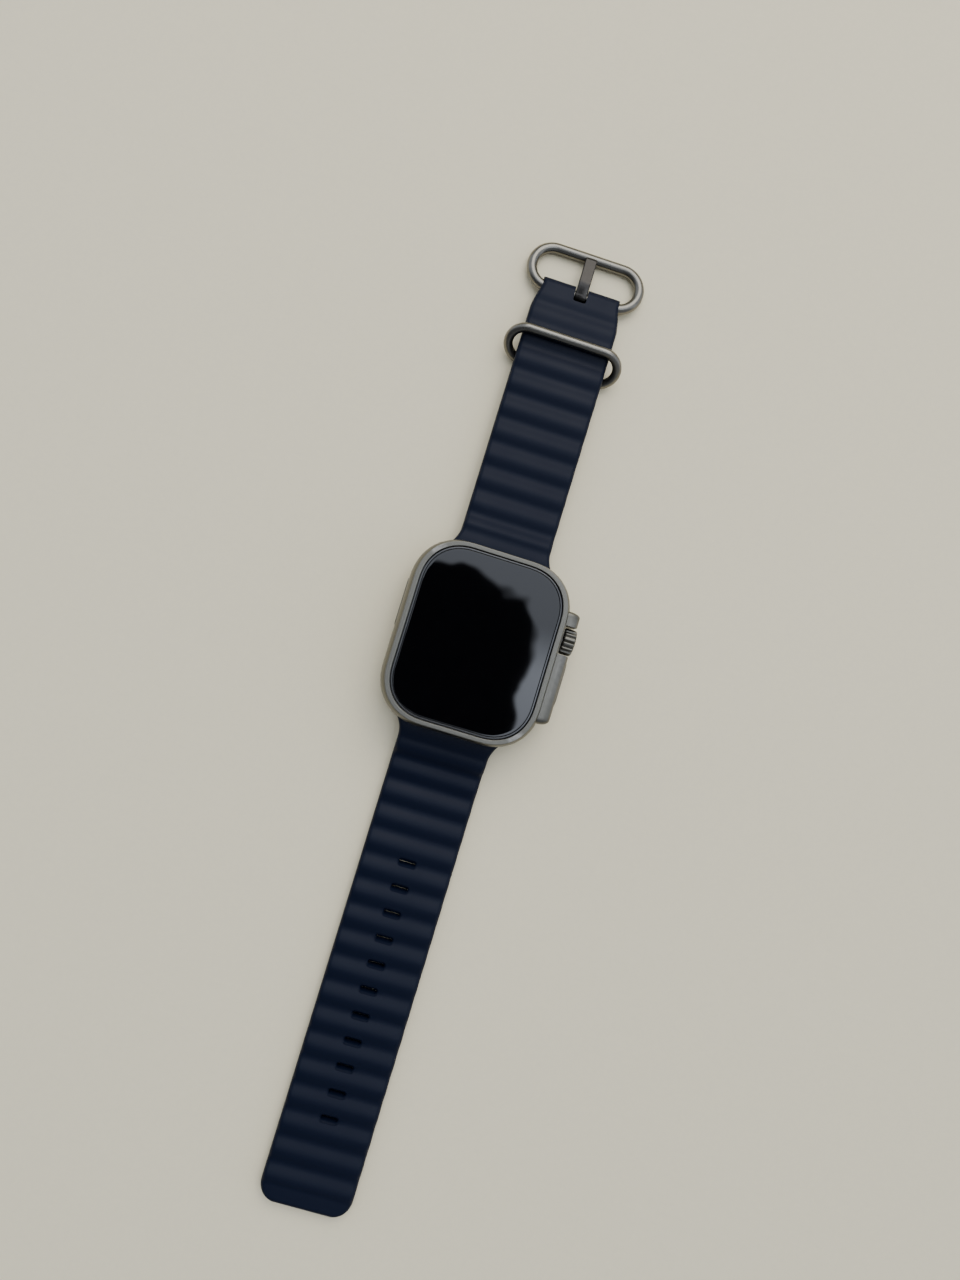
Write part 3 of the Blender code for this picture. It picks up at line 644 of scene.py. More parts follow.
@dataclass
class Studio:
    """Camera, lights, sky and floor."""

    lens: float = 27.03
    height: float = 241.0
    lean_x: float = 3.3
    lean_y: float = 3.0
    roll: float = 17.0
    aim: tuple[float, float, float] = (0.0, 0.0, 14.4)
    aside: tuple[float, float] = (0.73, 0.68)
    floor_color: tuple[float, float, float] = (0.965, 0.865, 0.61)
    sky_color: tuple[float, float, float] = (0.86, 0.93, 1.06)
    sky_strength: float = 0.92
    overhead_boost: float = 1.5
    patch_half: tuple[float, float] = (0.1155, 0.120)
    patch_power: float = 3.8
    patch_rim: tuple[float, float] = (0.92, 1.14)
    ripple_scale: float = 26.0
    ripple: float = 1.1
    dim_side: float = 0.16
    side_rise: tuple[float, float] = (-0.34, 0.22)
    overhead_rise: tuple[float, float] = (0.86, 0.97)
    window_x: tuple[float, float] = (0.07, 0.11)
    window_y: tuple[float, float] = (0.09, 0.03)
    window_boost: float = 1.5
    key_place: tuple[float, float, float] = (0.1, 0.75, 0.85)
    key_aim: tuple[float, float, float] = (0.0, -0.02, 0.0)
    key_size: tuple[float, float] = (0.9, 0.7)
    key_watts: float = 6.0
    key_color: tuple[float, float, float] = (1.0, 0.965, 0.91)
    floor_half: float = 2.5
    floor_drop: float = 0.0001
    curl_from: float = 1.6
    curl_rise: float = 1.2

    def camera(self) -> None:
        """Sets the camera nearly straight above the display, with the watch turned in the frame."""
        data = bpy.data.cameras.new("camera")
        data.lens = self.lens
        data.sensor_width = 36.0
        data.clip_start = 0.01
        camera = bpy.data.objects.new("camera", data)
        bpy.context.scene.collection.objects.link(camera)
        turn = math.radians(self.roll)
        up = Vector((-math.sin(turn), math.cos(turn), 0.0))
        right = Vector((math.cos(turn), math.sin(turn), 0.0))
        target = Vector(self.aim) + right * self.aside[0] + up * self.aside[1]
        lean = Vector((-math.sin(math.radians(self.lean_x)), -math.sin(math.radians(self.lean_y)), 0.0))
        lean.z = math.sqrt(1.0 - lean.length_squared)
        back = lean.normalized()
        side = up.cross(back).normalized()
        true_up = back.cross(side)
        basis = Matrix((side, true_up, back)).transposed().to_4x4()
        camera.matrix_world = Matrix.Translation((target + back * self.height) * MM) @ basis
        bpy.context.scene.camera = camera

    def area(self, name: str, place: Sequence[float], target: Sequence[float], size: tuple[float, float],
             watts: float, color: tuple[float, float, float]) -> None:
        """Adds a soft rectangular light that faces a target; lengths in metres.

        Args:
            name: the light's name.
            place: where it hangs.
            target: the point it faces.
            size: its width and height.
            watts: its power.
            color: its colour.
        """
        data = bpy.data.lights.new(name, "AREA")
        data.shape = "RECTANGLE"
        data.size, data.size_y = size
        data.energy = watts
        data.color = color
        light = bpy.data.objects.new(name, data)
        bpy.context.scene.collection.objects.link(light)
        light.location = place
        light.rotation_euler = (Vector(target) - Vector(place)).to_track_quat("-Z", "Y").to_euler()

    def sky(self) -> None:
        """A pale room, brighter towards +Y, with a dark patch overhead.

        The patch is a superellipse in slope space: the direction's x and y over its z, over the
        patch's half sizes, each to a power and added, with noise that makes its edge uneven. A
        window beside it, past a slope in x and below one in y, is brighter. The glass mirrors both.
        """
        world = bpy.data.worlds.new("room")
        bpy.context.scene.world = world
        world.use_nodes = True
        tree = world.node_tree
        background = tree.nodes["Background"]
        coordinates = tree.nodes.new("ShaderNodeTexCoord")
        split = tree.nodes.new("ShaderNodeSeparateXYZ")
        tree.links.new(coordinates.outputs["Generated"], split.inputs[0])
        upward = math_node(tree, "MAXIMUM", split.outputs[2], 0.05)
        slopes, terms = [], []
        for axis, half in enumerate(self.patch_half):
            slope = math_node(tree, "DIVIDE", split.outputs[axis], upward)
            slopes.append(slope)
            size = math_node(tree, "ABSOLUTE", math_node(tree, "DIVIDE", slope, half), 0.0)
            terms.append(math_node(tree, "POWER", size, self.patch_power))
        noise = tree.nodes.new("ShaderNodeTexNoise")
        noise.inputs["Scale"].default_value = self.ripple_scale
        noise.inputs["Detail"].default_value = 1.0
        tree.links.new(coordinates.outputs["Generated"], noise.inputs["Vector"])
        uneven = math_node(tree, "SUBTRACT", noise.outputs["Fac"], 0.5)
        uneven = math_node(tree, "MULTIPLY", uneven, self.ripple)
        total = math_node(tree, "ADD", math_node(tree, "ADD", *terms), uneven)
        outside = self._rise(tree, total, *self.patch_rim)
        bright = math_node(tree, "MULTIPLY", 1.0 - self.dim_side,
                           self._rise(tree, split.outputs[1], *self.side_rise))
        side = math_node(tree, "ADD", self.dim_side, bright)
        overhead = self._rise(tree, split.outputs[2], *self.overhead_rise)
        boost = math_node(tree, "ADD", 1.0, math_node(tree, "MULTIPLY", overhead, self.overhead_boost))
        window = math_node(tree, "MULTIPLY", self._rise(tree, slopes[0], *self.window_x),
                           self._rise(tree, slopes[1], *self.window_y))
        glow = math_node(tree, "ADD", 1.0, math_node(tree, "MULTIPLY", window, self.window_boost))
        level = math_node(tree, "MULTIPLY", math_node(tree, "MULTIPLY", outside, side),
                          math_node(tree, "MULTIPLY", boost, glow))
        background.inputs["Color"].default_value = (*self.sky_color, 1.0)
        tree.links.new(math_node(tree, "MULTIPLY", level, self.sky_strength), background.inputs["Strength"])

    @staticmethod
    def _rise(tree: bpy.types.NodeTree, value: bpy.types.NodeSocket, low: float,
              high: float) -> bpy.types.NodeSocket:
        """A soft step from 0 at low to 1 at high.

        Args:
            tree: the node tree.
            value: the value to step on.
            low: the value where the step begins.
            high: the value where it ends.

        Returns:
            The step's socket.
        """
        step = tree.nodes.new("ShaderNodeMapRange")
        step.interpolation_type = "SMOOTHSTEP"
        step.inputs["From Min"].default_value = low
        step.inputs["From Max"].default_value = high
        tree.links.new(value, step.inputs["Value"])
        return step.outputs["Result"]

    def floor(self) -> None:
        """A plain pale floor that curls up far behind."""
        across = np.linspace(-self.floor_half, self.floor_half, 9)
        along = np.linspace(-self.floor_half, self.floor_half, 41)
        x, y = np.meshgrid(across, along, indexing="ij")
        z = -self.floor_drop + self.curl_rise * smoothstep(self.curl_from, self.floor_half, y) ** 2
        points = np.stack((x, y, z), axis=-1).reshape(-1, 3)
        index = np.arange(len(points)).reshape(x.shape)
        quads = np.stack((index[:-1, :-1], index[1:, :-1], index[1:, 1:], index[:-1, 1:]), axis=-1)
        mesh = bpy.data.meshes.new("floor")
        mesh.from_pydata(points.tolist(), [], quads.reshape(-1, 4).tolist())
        floor = bpy.data.objects.new("floor", mesh)
        bpy.context.scene.collection.objects.link(floor)
        mesh.shade_smooth()
        paper = Finish("floor paper", self.floor_color, tuple(v * 1.03 for v in self.floor_color),
                       (0.7, 0.85), specular=0.3, grain_scale=700.0, grain_depth=0.05)
        dress(floor, paper)

    def build(self) -> None:
        """Sets up everything that isn't part of the watch."""
        self.sky()
        self.floor()
        self.area("key", self.key_place, self.key_aim, self.key_size, self.key_watts, self.key_color)


# ---------------------------------------------------------------- case


@dataclass
class Case:
    """The titanium case with its lip, guard, strap channels, pockets and slots."""

    half: tuple[float, float] = (21.2, 24.5)
    corner: float = 13.4
    opening_half: tuple[float, float] = (18.65, 22.55)
    opening_corner: float = 11.4
    back_z: float = 2.0
    waist_z: float = 8.2
    shoulder_z: float = 12.8
    lip_z: float = 14.4
    guard_top: float = 14.9
    guard_bottom: float = -15.2
    guard_x: float = 23.85
    channel: tuple[float, float, float] = (21.0, 6.0, 2.5)
    crown: tuple[float, float, float] = (7.3, 7.9, 3.8)
    side_key_y: float = -3.9
    action_key_y: float = 4.8
    button_z: float = 7.9
    across_inset: float = 1.0
    along_inset: float = 0.6
    inner_wall: tuple[tuple[float, float, float, float], ...] = (
        (12.55, 16.7, 20.7, 9.0), (11.5, 16.7, 20.7, 9.0), (11.4, 16.8, 17.5, 6.0), (5.5, 16.8, 17.5, 6.0),
        (5.4, 14.6, 16.6, 7.0), (4.0, 14.6, 16.6, 7.0), (3.98, 16.4, 18.7, 7.6), (2.0, 16.4, 18.7, 7.6))
    guard_root: float = 19.6
    guard_inner: float = 16.9
    guard_half_height: float = 4.45
    guard_middle_z: float = 7.75
    pocket_half_length: float = 6.65
    pocket_clear: float = 0.22
    pocket_flare: float = 0.25
    stem_hole: float = 1.05
    speaker_y: float = -5.4
    speaker_pitch: float = 1.5
    speaker_slots: int = 5
    microphone_y: float = -3.2

    def wall(self, across: float, along: float) -> Array:
        """The case's outline, moved in by one inset across and another along."""
        return superellipse_outline(self.half[0] - across, self.half[1] - along, self.corner - along)

    def opening(self, inset: float) -> Array:
        """The outline of the lip's opening, moved in by an inset."""
        return superellipse_outline(self.opening_half[0] - inset, self.opening_half[1] - inset,
                                    self.opening_corner - inset)

    def side_profile(self) -> Array:
        """Height and the two insets of the outer wall.

        Below the waist the inset is a power of the distance down to the back, and above it a
        power of the distance up to the shoulder, larger across than along.

        Returns:
            Points of (height, inset across, inset along).
        """
        lower = np.linspace(self.back_z, self.waist_z, 12)
        upper = np.linspace(self.waist_z, self.shoulder_z, 12)[1:]
        low = 2.2 * ((self.waist_z - lower) / (self.waist_z - self.back_z)) ** 3.2
        high = ((upper - self.waist_z) / (self.shoulder_z - self.waist_z)) ** 2.6
        across = np.concatenate((low, self.across_inset * high))
        along = np.concatenate((low, self.along_inset * high))
        return np.stack((np.concatenate((lower, upper)), across, along), axis=-1)

    def shell(self) -> bpy.types.Object:
        """Skins the outer wall, the flat lip and the plain inner wall as one closed ring of rings.

        Returns:
            The shell before it is cut.
        """
        levels = [ring_at(self.wall(across, along), z) for z, across, along in self.side_profile()]
        shoulder = rounded_profile(((self.shoulder_z, 0.0, 0), (self.shoulder_z + 0.1, 0.1, 0.06),
                                    (self.lip_z, 0.16, 0.24), (self.lip_z, 0.5, 0)))
        levels += [ring_at(self.wall(self.across_inset + rest, self.along_inset + rest), z)
                   for z, rest in shoulder[1:]]
        lip = rounded_profile(((self.lip_z, -0.5, 0), (self.lip_z, -0.1, 0.1), (self.lip_z - 0.16, 0.0, 0.08),
                               (12.6, 0.0, 0)))
        levels += [ring_at(self.opening(inset), z) for z, inset in lip]
        levels += [ring_at(superellipse_outline(across, along, corner), z)
                   for z, across, along, corner in self.inner_wall]
        return make_mesh("case_shell", np.array(levels), wrap_rows=True)

    def guard(self) -> bpy.types.Object:
        """The crown guard: a rounded bar along Y that ends in round shoulders.

        Its reach along X is a plateau in Y whose ends fall on superellipse quarters, and its
        cross-section is a superellipse too.

        Returns:
            The closed guard.
        """
        y = np.concatenate((np.linspace(self.guard_bottom, self.guard_bottom + 2.4, 26),
                            np.linspace(self.guard_top - 1.6, self.guard_top, 26)))
        low_end = np.clip((y - self.guard_bottom) / 2.3, 0.0, 1.0)
        high_end = np.clip((self.guard_top - y) / 1.5, 0.0, 1.0)
        rise = (1 - (1 - low_end) ** 3.2) ** (1 / 2.4) * (1 - (1 - high_end) ** 3.2) ** (1 / 3.2)
        outer = self.guard_root + (self.guard_x - self.guard_root) * rise
        angle = np.linspace(-math.pi / 2, math.pi / 2, 33)
        bulge = np.sign(np.cos(angle)) * np.abs(np.cos(angle)) ** (2 / 5.0)
        lift = np.sign(np.sin(angle)) * np.abs(np.sin(angle)) ** (2 / 5.0)
        x = self.guard_inner + (outer[:, None] - self.guard_inner) * bulge[None, :]
        half_height = self.guard_half_height * (0.55 + 0.45 * rise)[:, None]
        z = self.guard_middle_z + half_height * lift[None, :]
        points = np.stack((x, y[:, None] + 0 * x, z), axis=-1)
        return make_mesh("guard", points)

    def cutters(self) -> list[bpy.types.Object]:
        """Every pocket, channel and slot, as closed cutting shapes.

        Returns:
            The cutting shapes.
        """
        crown_y, crown_z, clear = self.crown
        rings = ((20.6, 30.0, clear), (23.2, 30.0, clear), (26.0, 30.0, clear + 0.7))
        found = [slot_prism("crown_pocket", rings, (0, crown_y, crown_z), "X", upright=True)]
        y, z, radius = self.channel
        for side in (1, -1):
            channel = turned_surface(((radius, -30), (radius, 30)), (0, side * y, z), "X", 48)
            found.append(make_mesh(f"channel_{side}", channel))
            low, high = sorted((side * (y + 1.0), side * 27.0))
            found.append(block(f"mouth_{side}", (-30, low, z - 1.6), (30, high, z + 1.6)))
            rings = ((1.0, 2.8, 1.25), (2.1, 2.7, 1.15), (4.2, 2.7, 1.15))
            found.append(slot_prism(f"release_hole_{side}", rings, (0, side * 20.6, 0)))
        for side, place_y, floor, outer, radius in ((1, self.side_key_y, 21.6, self.guard_x, 2.6),
                                                    (-1, self.action_key_y, 19.9, self.half[0], 1.5)):
            half, clear = self.pocket_half_length, radius + self.pocket_clear
            rings = ((side * floor, half, clear), (side * (outer - 0.18), half, clear),
                     (side * (outer + 0.1), half + self.pocket_flare, clear + self.pocket_flare),
                     (side * 26.0, half + self.pocket_flare, clear + self.pocket_flare))
            found.append(slot_prism(f"key_pocket_{side}", rings, (0, place_y, self.button_z), "X"))
            low, high = sorted((side * 15.0, side * (floor + 0.4)))
            stem = ((self.stem_hole, low), (self.stem_hole, high))
            found.append(make_mesh(f"stem_hole_{side}", turned_surface(
                stem, (0, place_y, self.button_z), "X", 32)))
        for index in range(self.speaker_slots):
            rings = ((-24.0, 1.75, 0.65), (-20.5, 1.55, 0.5), (-20.2, 1.5, 0.45), (-16.5, 1.5, 0.45))
            middle = (0, self.speaker_y - self.speaker_pitch * index, self.button_z)
            found.append(slot_prism(f"speaker_slot_{index}", rings, middle, "X", upright=True))
        found.append(make_mesh("microphone_hole", turned_surface(
            ((0.6, -24), (0.42, -20.4), (0.4, -16.5)), (0, self.microphone_y, self.button_z), "X", 24)))
        return found

    def build(self) -> None:
        """Makes the case and lets it stand for its plain solid."""
        shell = self.shell()
        carve(shell, [self.guard()], "UNION")
        carve(shell, self.cutters())
        place(shell, "case", "titanium", BLASTED_TITANIUM, "case_frame")


@dataclass
class FrontCrystal:
    """The dark crystal inside the lip, with its polished edge and the thin dark groove beside it."""

    case: Case
    gap: float = 0.14
    groove_inset: float = 0.62
    face_inset: float = 0.74
    bottom_z: float = 13.0
    top_z: float = 14.15

    def _stack(self, name: str, profile: Array, wrap_rows: bool = False) -> bpy.types.Object:
        """Skins (height, inset) pairs inside the lip's opening."""
        levels = [ring_at(self.case.opening(inset), z) for z, inset in profile]
        return make_mesh(name, np.array(levels), wrap_rows, crease=30.0)

    def build(self) -> None:
        """Makes the polished edge ring and the dark face."""
        edge = rounded_profile(((self.bottom_z, self.gap, 0), (self.top_z - 0.06, self.gap, 0.2),
                                (self.top_z - 0.02, self.groove_inset, 0.08),
                                (self.bottom_z, self.groove_inset, 0)))
        place(self._stack("crystal_edge", edge, True), "case", "crystal", CRYSTAL_EDGE)
        face = rounded_profile(((self.bottom_z, self.face_inset, 0), (self.top_z, self.face_inset, 0.12),
                                (self.top_z, self.face_inset + 0.6, 0)))
        place(self._stack("crystal_face", face), "case", "crystal", DISPLAY_GLASS, "front_crystal")


# ---------------------------------------------------------------- crown and keys


@dataclass
class Crown:
    """The ridged crown and its end cap."""

    radius: float = 3.45
    ridges: int = 14
    groove: float = 0.5
    groove_power: float = 3.6
    inner_x: float = 21.1
    outer_x: float = 24.35

    def knob(self, centre: Array) -> bpy.types.Object:
        """A ring of rounded ridges.

        The radius is the knob's own, less an end rounding that grows towards both faces, less a
        groove that is a power of half a cosine round the axis.

        Args:
            centre: a point on the crown's axis.

        Returns:
            The closed knob.
        """
        x = np.concatenate((np.linspace(self.inner_x, self.inner_x + 0.5, 7),
                            np.linspace(self.outer_x - 0.6, self.outer_x, 9)))
        end = np.clip(1 - np.minimum(x - self.inner_x, self.outer_x - x) / 0.55, 0, 1)
        rounding = 0.5 * (1 - np.sqrt(1 - np.clip(end, 0, 0.999) ** 2))
        angle = np.linspace(0.0, math.tau, self.ridges * 16, endpoint=False)
        cut = self.groove * (0.5 - 0.5 * np.cos(self.ridges * angle)) ** self.groove_power
        radius = self.radius - rounding[:, None] - cut[None, :]
        outer = np.stack((x[:, None] + 0 * radius, radius * np.cos(angle), radius * np.sin(angle)), axis=-1)
        face = rounded_profile(((self.outer_x, 2.75, 0), (self.outer_x - 0.03, 2.5, 0.1),
                                (self.outer_x - 0.5, 2.45, 0), (self.outer_x - 0.5, 1.1, 0),
                                (self.inner_x, 1.1, 0)))
        inner = turned_surface([(r, along) for along, r in face], (0, 0, 0), "X", len(angle))
        points = np.concatenate((outer, inner)) + np.array((0.0, centre[1], centre[2]))
        return make_mesh("crown_ridges", points, wrap_rows=True, crease=40.0)

    def build(self) -> None:
        """Makes the knob and the cap on the crown's axis."""
        centre = joint_place("crown_turn")
        place(self.knob(centre), "crown", "titanium", BLASTED_TITANIUM, "crown_knob")
        cap = rounded_profile(((self.outer_x - 0.46, 2.38, 0), (self.outer_x - 0.06, 2.38, 0.2),
                               (self.outer_x - 0.02, 1.7, 0.1), (self.outer_x, 0.4, 0.1),
                               (self.outer_x, 0.02, 0)))
        surface = turned_surface([(r, along) for along, r in cap], (0, centre[1], centre[2]), "X")
        place(make_mesh("crown_end_cap", surface), "crown", "titanium", SATIN_WIRE, "crown_cap")


@dataclass
class PushKey:
    """A slot-shaped key with softly rounded edges and a stem through the wall."""

    node: str
    body: str
    side: int
    depth: float
    half_length: float = 6.4
    edge: float = 0.38
    stem: float = 0.9

    def build(self) -> None:
        """Makes the key from its solid's box: rings shrink towards the face as a quarter circle."""
        low, high = node_box(self.node)
        centre = (low + high) / 2
        radius = (high[2] - low[2]) / 2
        outer, tip = (high[0], low[0]) if self.side > 0 else (low[0], high[0])
        inner = outer - self.side * self.depth
        rings = [(inner, self.half_length, radius)]
        for turn in np.linspace(0.0, math.pi / 2, 7):
            shrink = self.edge * (1 - math.cos(turn))
            rings.append((outer - self.side * self.edge * (1 - math.sin(turn)),
                          self.half_length - shrink, radius - shrink))
        key = slot_prism(f"{self.body}_face", rings, (0, centre[1], centre[2]), "X")
        stem = turned_surface(((self.stem, tip), (self.stem, inner + self.side * 0.3)),
                              (0, centre[1], centre[2]), "X", 32)
        carve(key, [make_mesh("stem", stem)], "UNION")
        place(key, self.body, "titanium", BLASTED_TITANIUM, self.node)


@dataclass
class Back:
    """The crystal dome on the back with its trim ring and sensor windows."""

    rim: float = 14.1
    windows: int = 4
    window_circle: float = 6.4

    def build(self) -> None:
        """Turns the dome and its ring, and sets four windows flush in its face."""
        dome = rounded_profile(((0.02, 0.0, 0), (9.0, 0.0, 2.2), (13.0, 0.62, 1.5), (self.rim, 1.75, 0.4),
                                (self.rim, 2.75, 0.1), (0.02, 2.75, 0)), steps=9)
        place(make_mesh("back_dome", turned_surface(dome.tolist(), (0, 0, 0), steps=128)),
              "case", "crystal", SENSOR_GLASS, "back_crystal")
        ring = rounded_profile(((13.35, 0.85, 0), (13.42, 0.66, 0.05), (13.75, 1.02, 0.05), (13.6, 1.15, 0)))
        trim = turned_surface(ring.tolist(), (0, 0, 0), steps=128)
        place(make_mesh("back_trim_ring", trim, wrap_rows=True), "case", "machined_steel", SATIN_WIRE)
        for index in range(self.windows):
            angle = math.tau * (index + 0.5) / self.windows
            centre = (self.window_circle * math.cos(angle), self.window_circle * math.sin(angle), 0.0)
            lens = turned_surface(((0.02, -0.012), (1.6, -0.012), (1.75, 0.01), (1.75, 0.3), (0.02, 0.3)),
                                  centre, steps=40)
            place(make_mesh(f"sensor_window_{index + 1}", lens), "case", "emitter", LENS)


# ---------------------------------------------------------------- strap


class Half(Enum):
    """The two halves of the strap, by the side of the case they leave from."""

    BUCKLE = 1
    TAIL = -1


@dataclass
class StrapRun:
    """One half of the strap: its route, its waves and its pieces, one for each hinge."""

    half: Half
    route: tuple[tuple[float, float], ...]
    first_valley: float
    pitch: float
    hinge_valleys: tuple[float, ...]
    seams: tuple[float, ...]
    end: float
    half_width: float = 12.1
    root_half_width: float = 13.9
    crest: float = 1.9
    valley: float = 1.15
    root: float = 1.25
    closer_by: float = 1.6
    closer_over: float = 14.0
    case_edge: float = 24.5
    start_out: float = 23.42
    step: float = 0.28
    blend_reach: float = 5.4
    out: Array = field(init=False)
    up: Array = field(init=False)
    along: Array = field(init=False)

    def __post_init__(self) -> None:
        """Draws the route as cubic Hermite runs between its points and measures its length."""
        out, up = (np.array(column, float) for column in zip(*self.route))
        slope = np.gradient(up, out)
        fine = np.linspace(out[0], out[-1], 3000)
        cell = np.clip(np.searchsorted(out, fine) - 1, 0, len(out) - 2)
        width = out[cell + 1] - out[cell]
        t = (fine - out[cell]) / width
        self.out = fine
        self.up = (up[cell] * (1 + 2 * t) * (1 - t) ** 2 + up[cell + 1] * t * t * (3 - 2 * t)
                   + width * (slope[cell] * t * (1 - t) ** 2 - slope[cell + 1] * t * t * (1 - t)))
        length = np.concatenate(([0.0], np.cumsum(np.hypot(np.diff(fine), np.diff(self.up)))))
        self.along = length - np.interp(self.case_edge, fine, length)

    def stretched(self, distance: Array) -> Array:
        """Distance as the waves count it: they stand closer together next to the case."""
        return distance + self.closer_by * (1 - np.exp(-np.maximum(distance, 0.0) / self.closer_over))

    def valley_place(self, index: float) -> float:
        """Distance from the case's edge to a valley; halves are crests."""
        distance = np.linspace(0.0, 140.0, 4000)
        return float(np.interp(self.first_valley + self.pitch * index, self.stretched(distance), distance))

    def place_at(self, distance: Array) -> tuple[Array, Array, Array, Array]:
        """Centre (y, z) and direction (y, z) of the strap at distances along it.

        Args:
            distance: places along the strap, from the case edge.

        Returns:
            The centre's y and z and the direction's y and z.
        """
        y = np.interp(distance, self.along, self.out)
        z = np.interp(distance, self.along, self.up)
        dy, dz = (np.interp(distance + 0.1, self.along, run) - np.interp(distance - 0.1, self.along, run)
                  for run in (self.out, self.up))
        length = np.hypot(dy, dz)
        return self.half.value * y, z, self.half.value * dy / length, dz / length

    def wave(self, distance: Array) -> Array:
        """Half thickness of the waves: a power under one of half a cosine, so that crests are broad.

        Args:
            distance: places along the strap, from the case edge.

        Returns:
            The half thickness at each place.
        """
        phase = (self.stretched(distance) - self.first_valley) / self.pitch
        lift = ((0.5 - 0.5 * np.cos(math.tau * phase)) ** 2 + 0.0016) ** 0.37
        return self.valley + (self.crest - self.valley) * lift

    def section(self, distance: Array) -> tuple[Array, Array]:
        """Half width and half thickness at distances along the strap.

        Args:
            distance: places along the strap, from the case edge.

        Returns:
            The half widths and half thicknesses.
        """
        flare = (1 - np.clip((distance + 1.1) / 5.1, 0.0, 1.0)) ** 2.2
        width = self.half_width + (self.root_half_width - self.half_width) * flare
        thick = self.root + (self.wave(distance) - self.root) * smoothstep(1.5, 5.0, distance)
        return width, thick

    def stations(self, start: float, end: float) -> Array:
        """Even stations from start to end."""
        return np.linspace(start, end, max(8, round((end - start) / self.step)) + 1)

    def surface(self, distance: Array) -> Array:
        """Rings of the strap: a flat section with round edges, carried along the route.

        Round the section the edge turns on a radius a little under the half thickness, up to a
        largest one, and the face between the edges is flat.

        Args:
            distance: places along the strap, from the case edge.

        Returns:
            Points of shape (places, points round, 3).
        """
        y, z, dy, dz = self.place_at(distance)
        width, thick = self.section(distance)
        edge = np.minimum(0.92 * thick, 1.25)
        turn = np.linspace(0.0, math.pi / 2, 8)
        flat = np.linspace(1.0, 0.0, 6)[1:-1]
        across = (width - edge)[:, None] + edge[:, None] * np.cos(turn)[None, :]
        lift = (thick - edge)[:, None] + edge[:, None] * np.sin(turn)[None, :]
        face_across = (width - edge)[:, None] * flat[None, :]
        face_lift = thick[:, None] + 0 * face_across
        quarter_a = np.concatenate((across, face_across), axis=1)
        quarter_l = np.concatenate((lift, face_lift), axis=1)
        ring_a = np.concatenate((quarter_a, -quarter_a[:, ::-1], -quarter_a, quarter_a[:, ::-1]), axis=1)
        ring_l = np.concatenate((quarter_l, quarter_l[:, ::-1], -quarter_l, -quarter_l[:, ::-1]), axis=1)
        side = self.half.value
        normal_y, normal_z = -dz * side, dy * side
        return np.stack((ring_a, y[:, None] + ring_l * normal_y[:, None],
                         z[:, None] + ring_l * normal_z[:, None]), axis=-1)

    def cuts(self, start: float, end: float) -> list[bpy.types.Object]:
        """Cutting shapes that fall between two places; a plain run has none."""
        return []

    def link(self, index: int) -> str:
        """Body name of a link; link 0 is the case."""
        return f"{self.half.name.lower()}_link_{index}" if index else "case"

    def nodes(self, index: int) -> tuple[str, ...]:
        """CAD nodes that a piece stands for: the link past its hinge, and the root with the first.

        Args:
            index: the piece's number, from 1.

        Returns:
            The names of the nodes.
        """
        name = self.half.name.lower()
        last = index == len(self.hinge_valleys)
        ahead = f"{name}_strap_end" if last and self.half is Half.BUCKLE else f"{name}_strap_{index}"
        return (f"{name}_strap_root", ahead) if index == 1 else (ahead,)

    def build(self) -> None:
        """Makes one piece for each hinge, from seam to seam."""
        start = float(np.interp(self.start_out, self.out, self.along))
        bounds = [start, *(self.valley_place(seam) for seam in self.seams), self.end]
        for index, (low, high) in enumerate(zip(bounds, bounds[1:]), start=1):
            surface = self.surface(self.stations(low, high))
            piece = make_mesh(f"{self.half.name.lower()}_band_{index}", surface, crease=50.0)
            cuts = self.cuts(low, high)
            if cuts:
                carve(piece, cuts, crease=50.0)
            dress(piece, WAVY_ELASTOMER)
            hinge = joint_place(f"{self.half.name.lower()}_flex_{index}")
            self.link(index - 1)
            self.link(index)
            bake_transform(piece)
            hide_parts(*self.nodes(index))
            report(piece)


@dataclass
class BuckleRun(StrapRun):
    """The short half: it tapers to the buckle and its end wraps the buckle's bar."""

    knuckle: float = 2.4
    bore: float = 1.78
    end_half_width: float = 10.75
    notch_half: float = 1.8
    notch_depth: float = 2.3
    notch_corner: float = 0.7

    def bar(self) -> float:
        """Distance along the strap to the buckle's bar."""
        return float(np.interp(joint_place("buckle_pivot")[1], self.out, self.along))

    def section(self, distance: Array) -> tuple[Array, Array]:
        """Adds the taper and the round knuckle to the plain run.

        Args:
            distance: places along the strap, from the case edge.

        Returns:
            The half widths and half thicknesses.
        """
        width, thick = super().section(distance)
        bar = self.bar()
        width = width + (self.end_half_width - self.half_width) * smoothstep(bar - 7.5, bar + 0.5, distance)
        thick = thick + (self.knuckle - thick) * smoothstep(bar - 8.6, bar - 2.6, distance)
        past = np.clip(distance - bar, 0.0, self.knuckle * 0.995)
        thick = np.where(distance > bar, np.sqrt(self.knuckle ** 2 - past ** 2), thick)
        return width, thick

    def stations(self, start: float, end: float) -> Array:
        """Closes the stations up round the knuckle's end.

        Args:
            start: where the piece begins.
            end: where the piece ends.

        Returns:
            Places along the strap.
        """
        bar = self.bar()
        if end < bar:
            return super().stations(start, end)
        turn = np.sin(np.linspace(0.0, math.pi / 2 * 0.955, 14))[1:]
        return np.concatenate((super().stations(start, bar), bar + self.knuckle * turn))

    def cuts(self, start: float, end: float) -> list[bpy.types.Object]:
        """The notch for the tongue and the bore for the bar.

        Args:
            start: where the piece begins.
            end: where the piece ends.

        Returns:
            The cutting shapes, if the bar is between.
        """
        if end < self.bar():
            return []
        pivot = joint_place("buckle_pivot")
        bore = turned_surface(((self.bore, -20), (self.bore, 20)), pivot, "X", 40)
        back = pivot[1] - self.notch_depth
        plan = superellipse_outline(self.notch_half, 6.0, self.notch_corner, 5) + np.array((0.0, back + 6.0))
        notch = np.array([ring_at(plan, -3.0), ring_at(plan, 9.0)])
        return [make_mesh("bore", bore), make_mesh("notch", notch)]


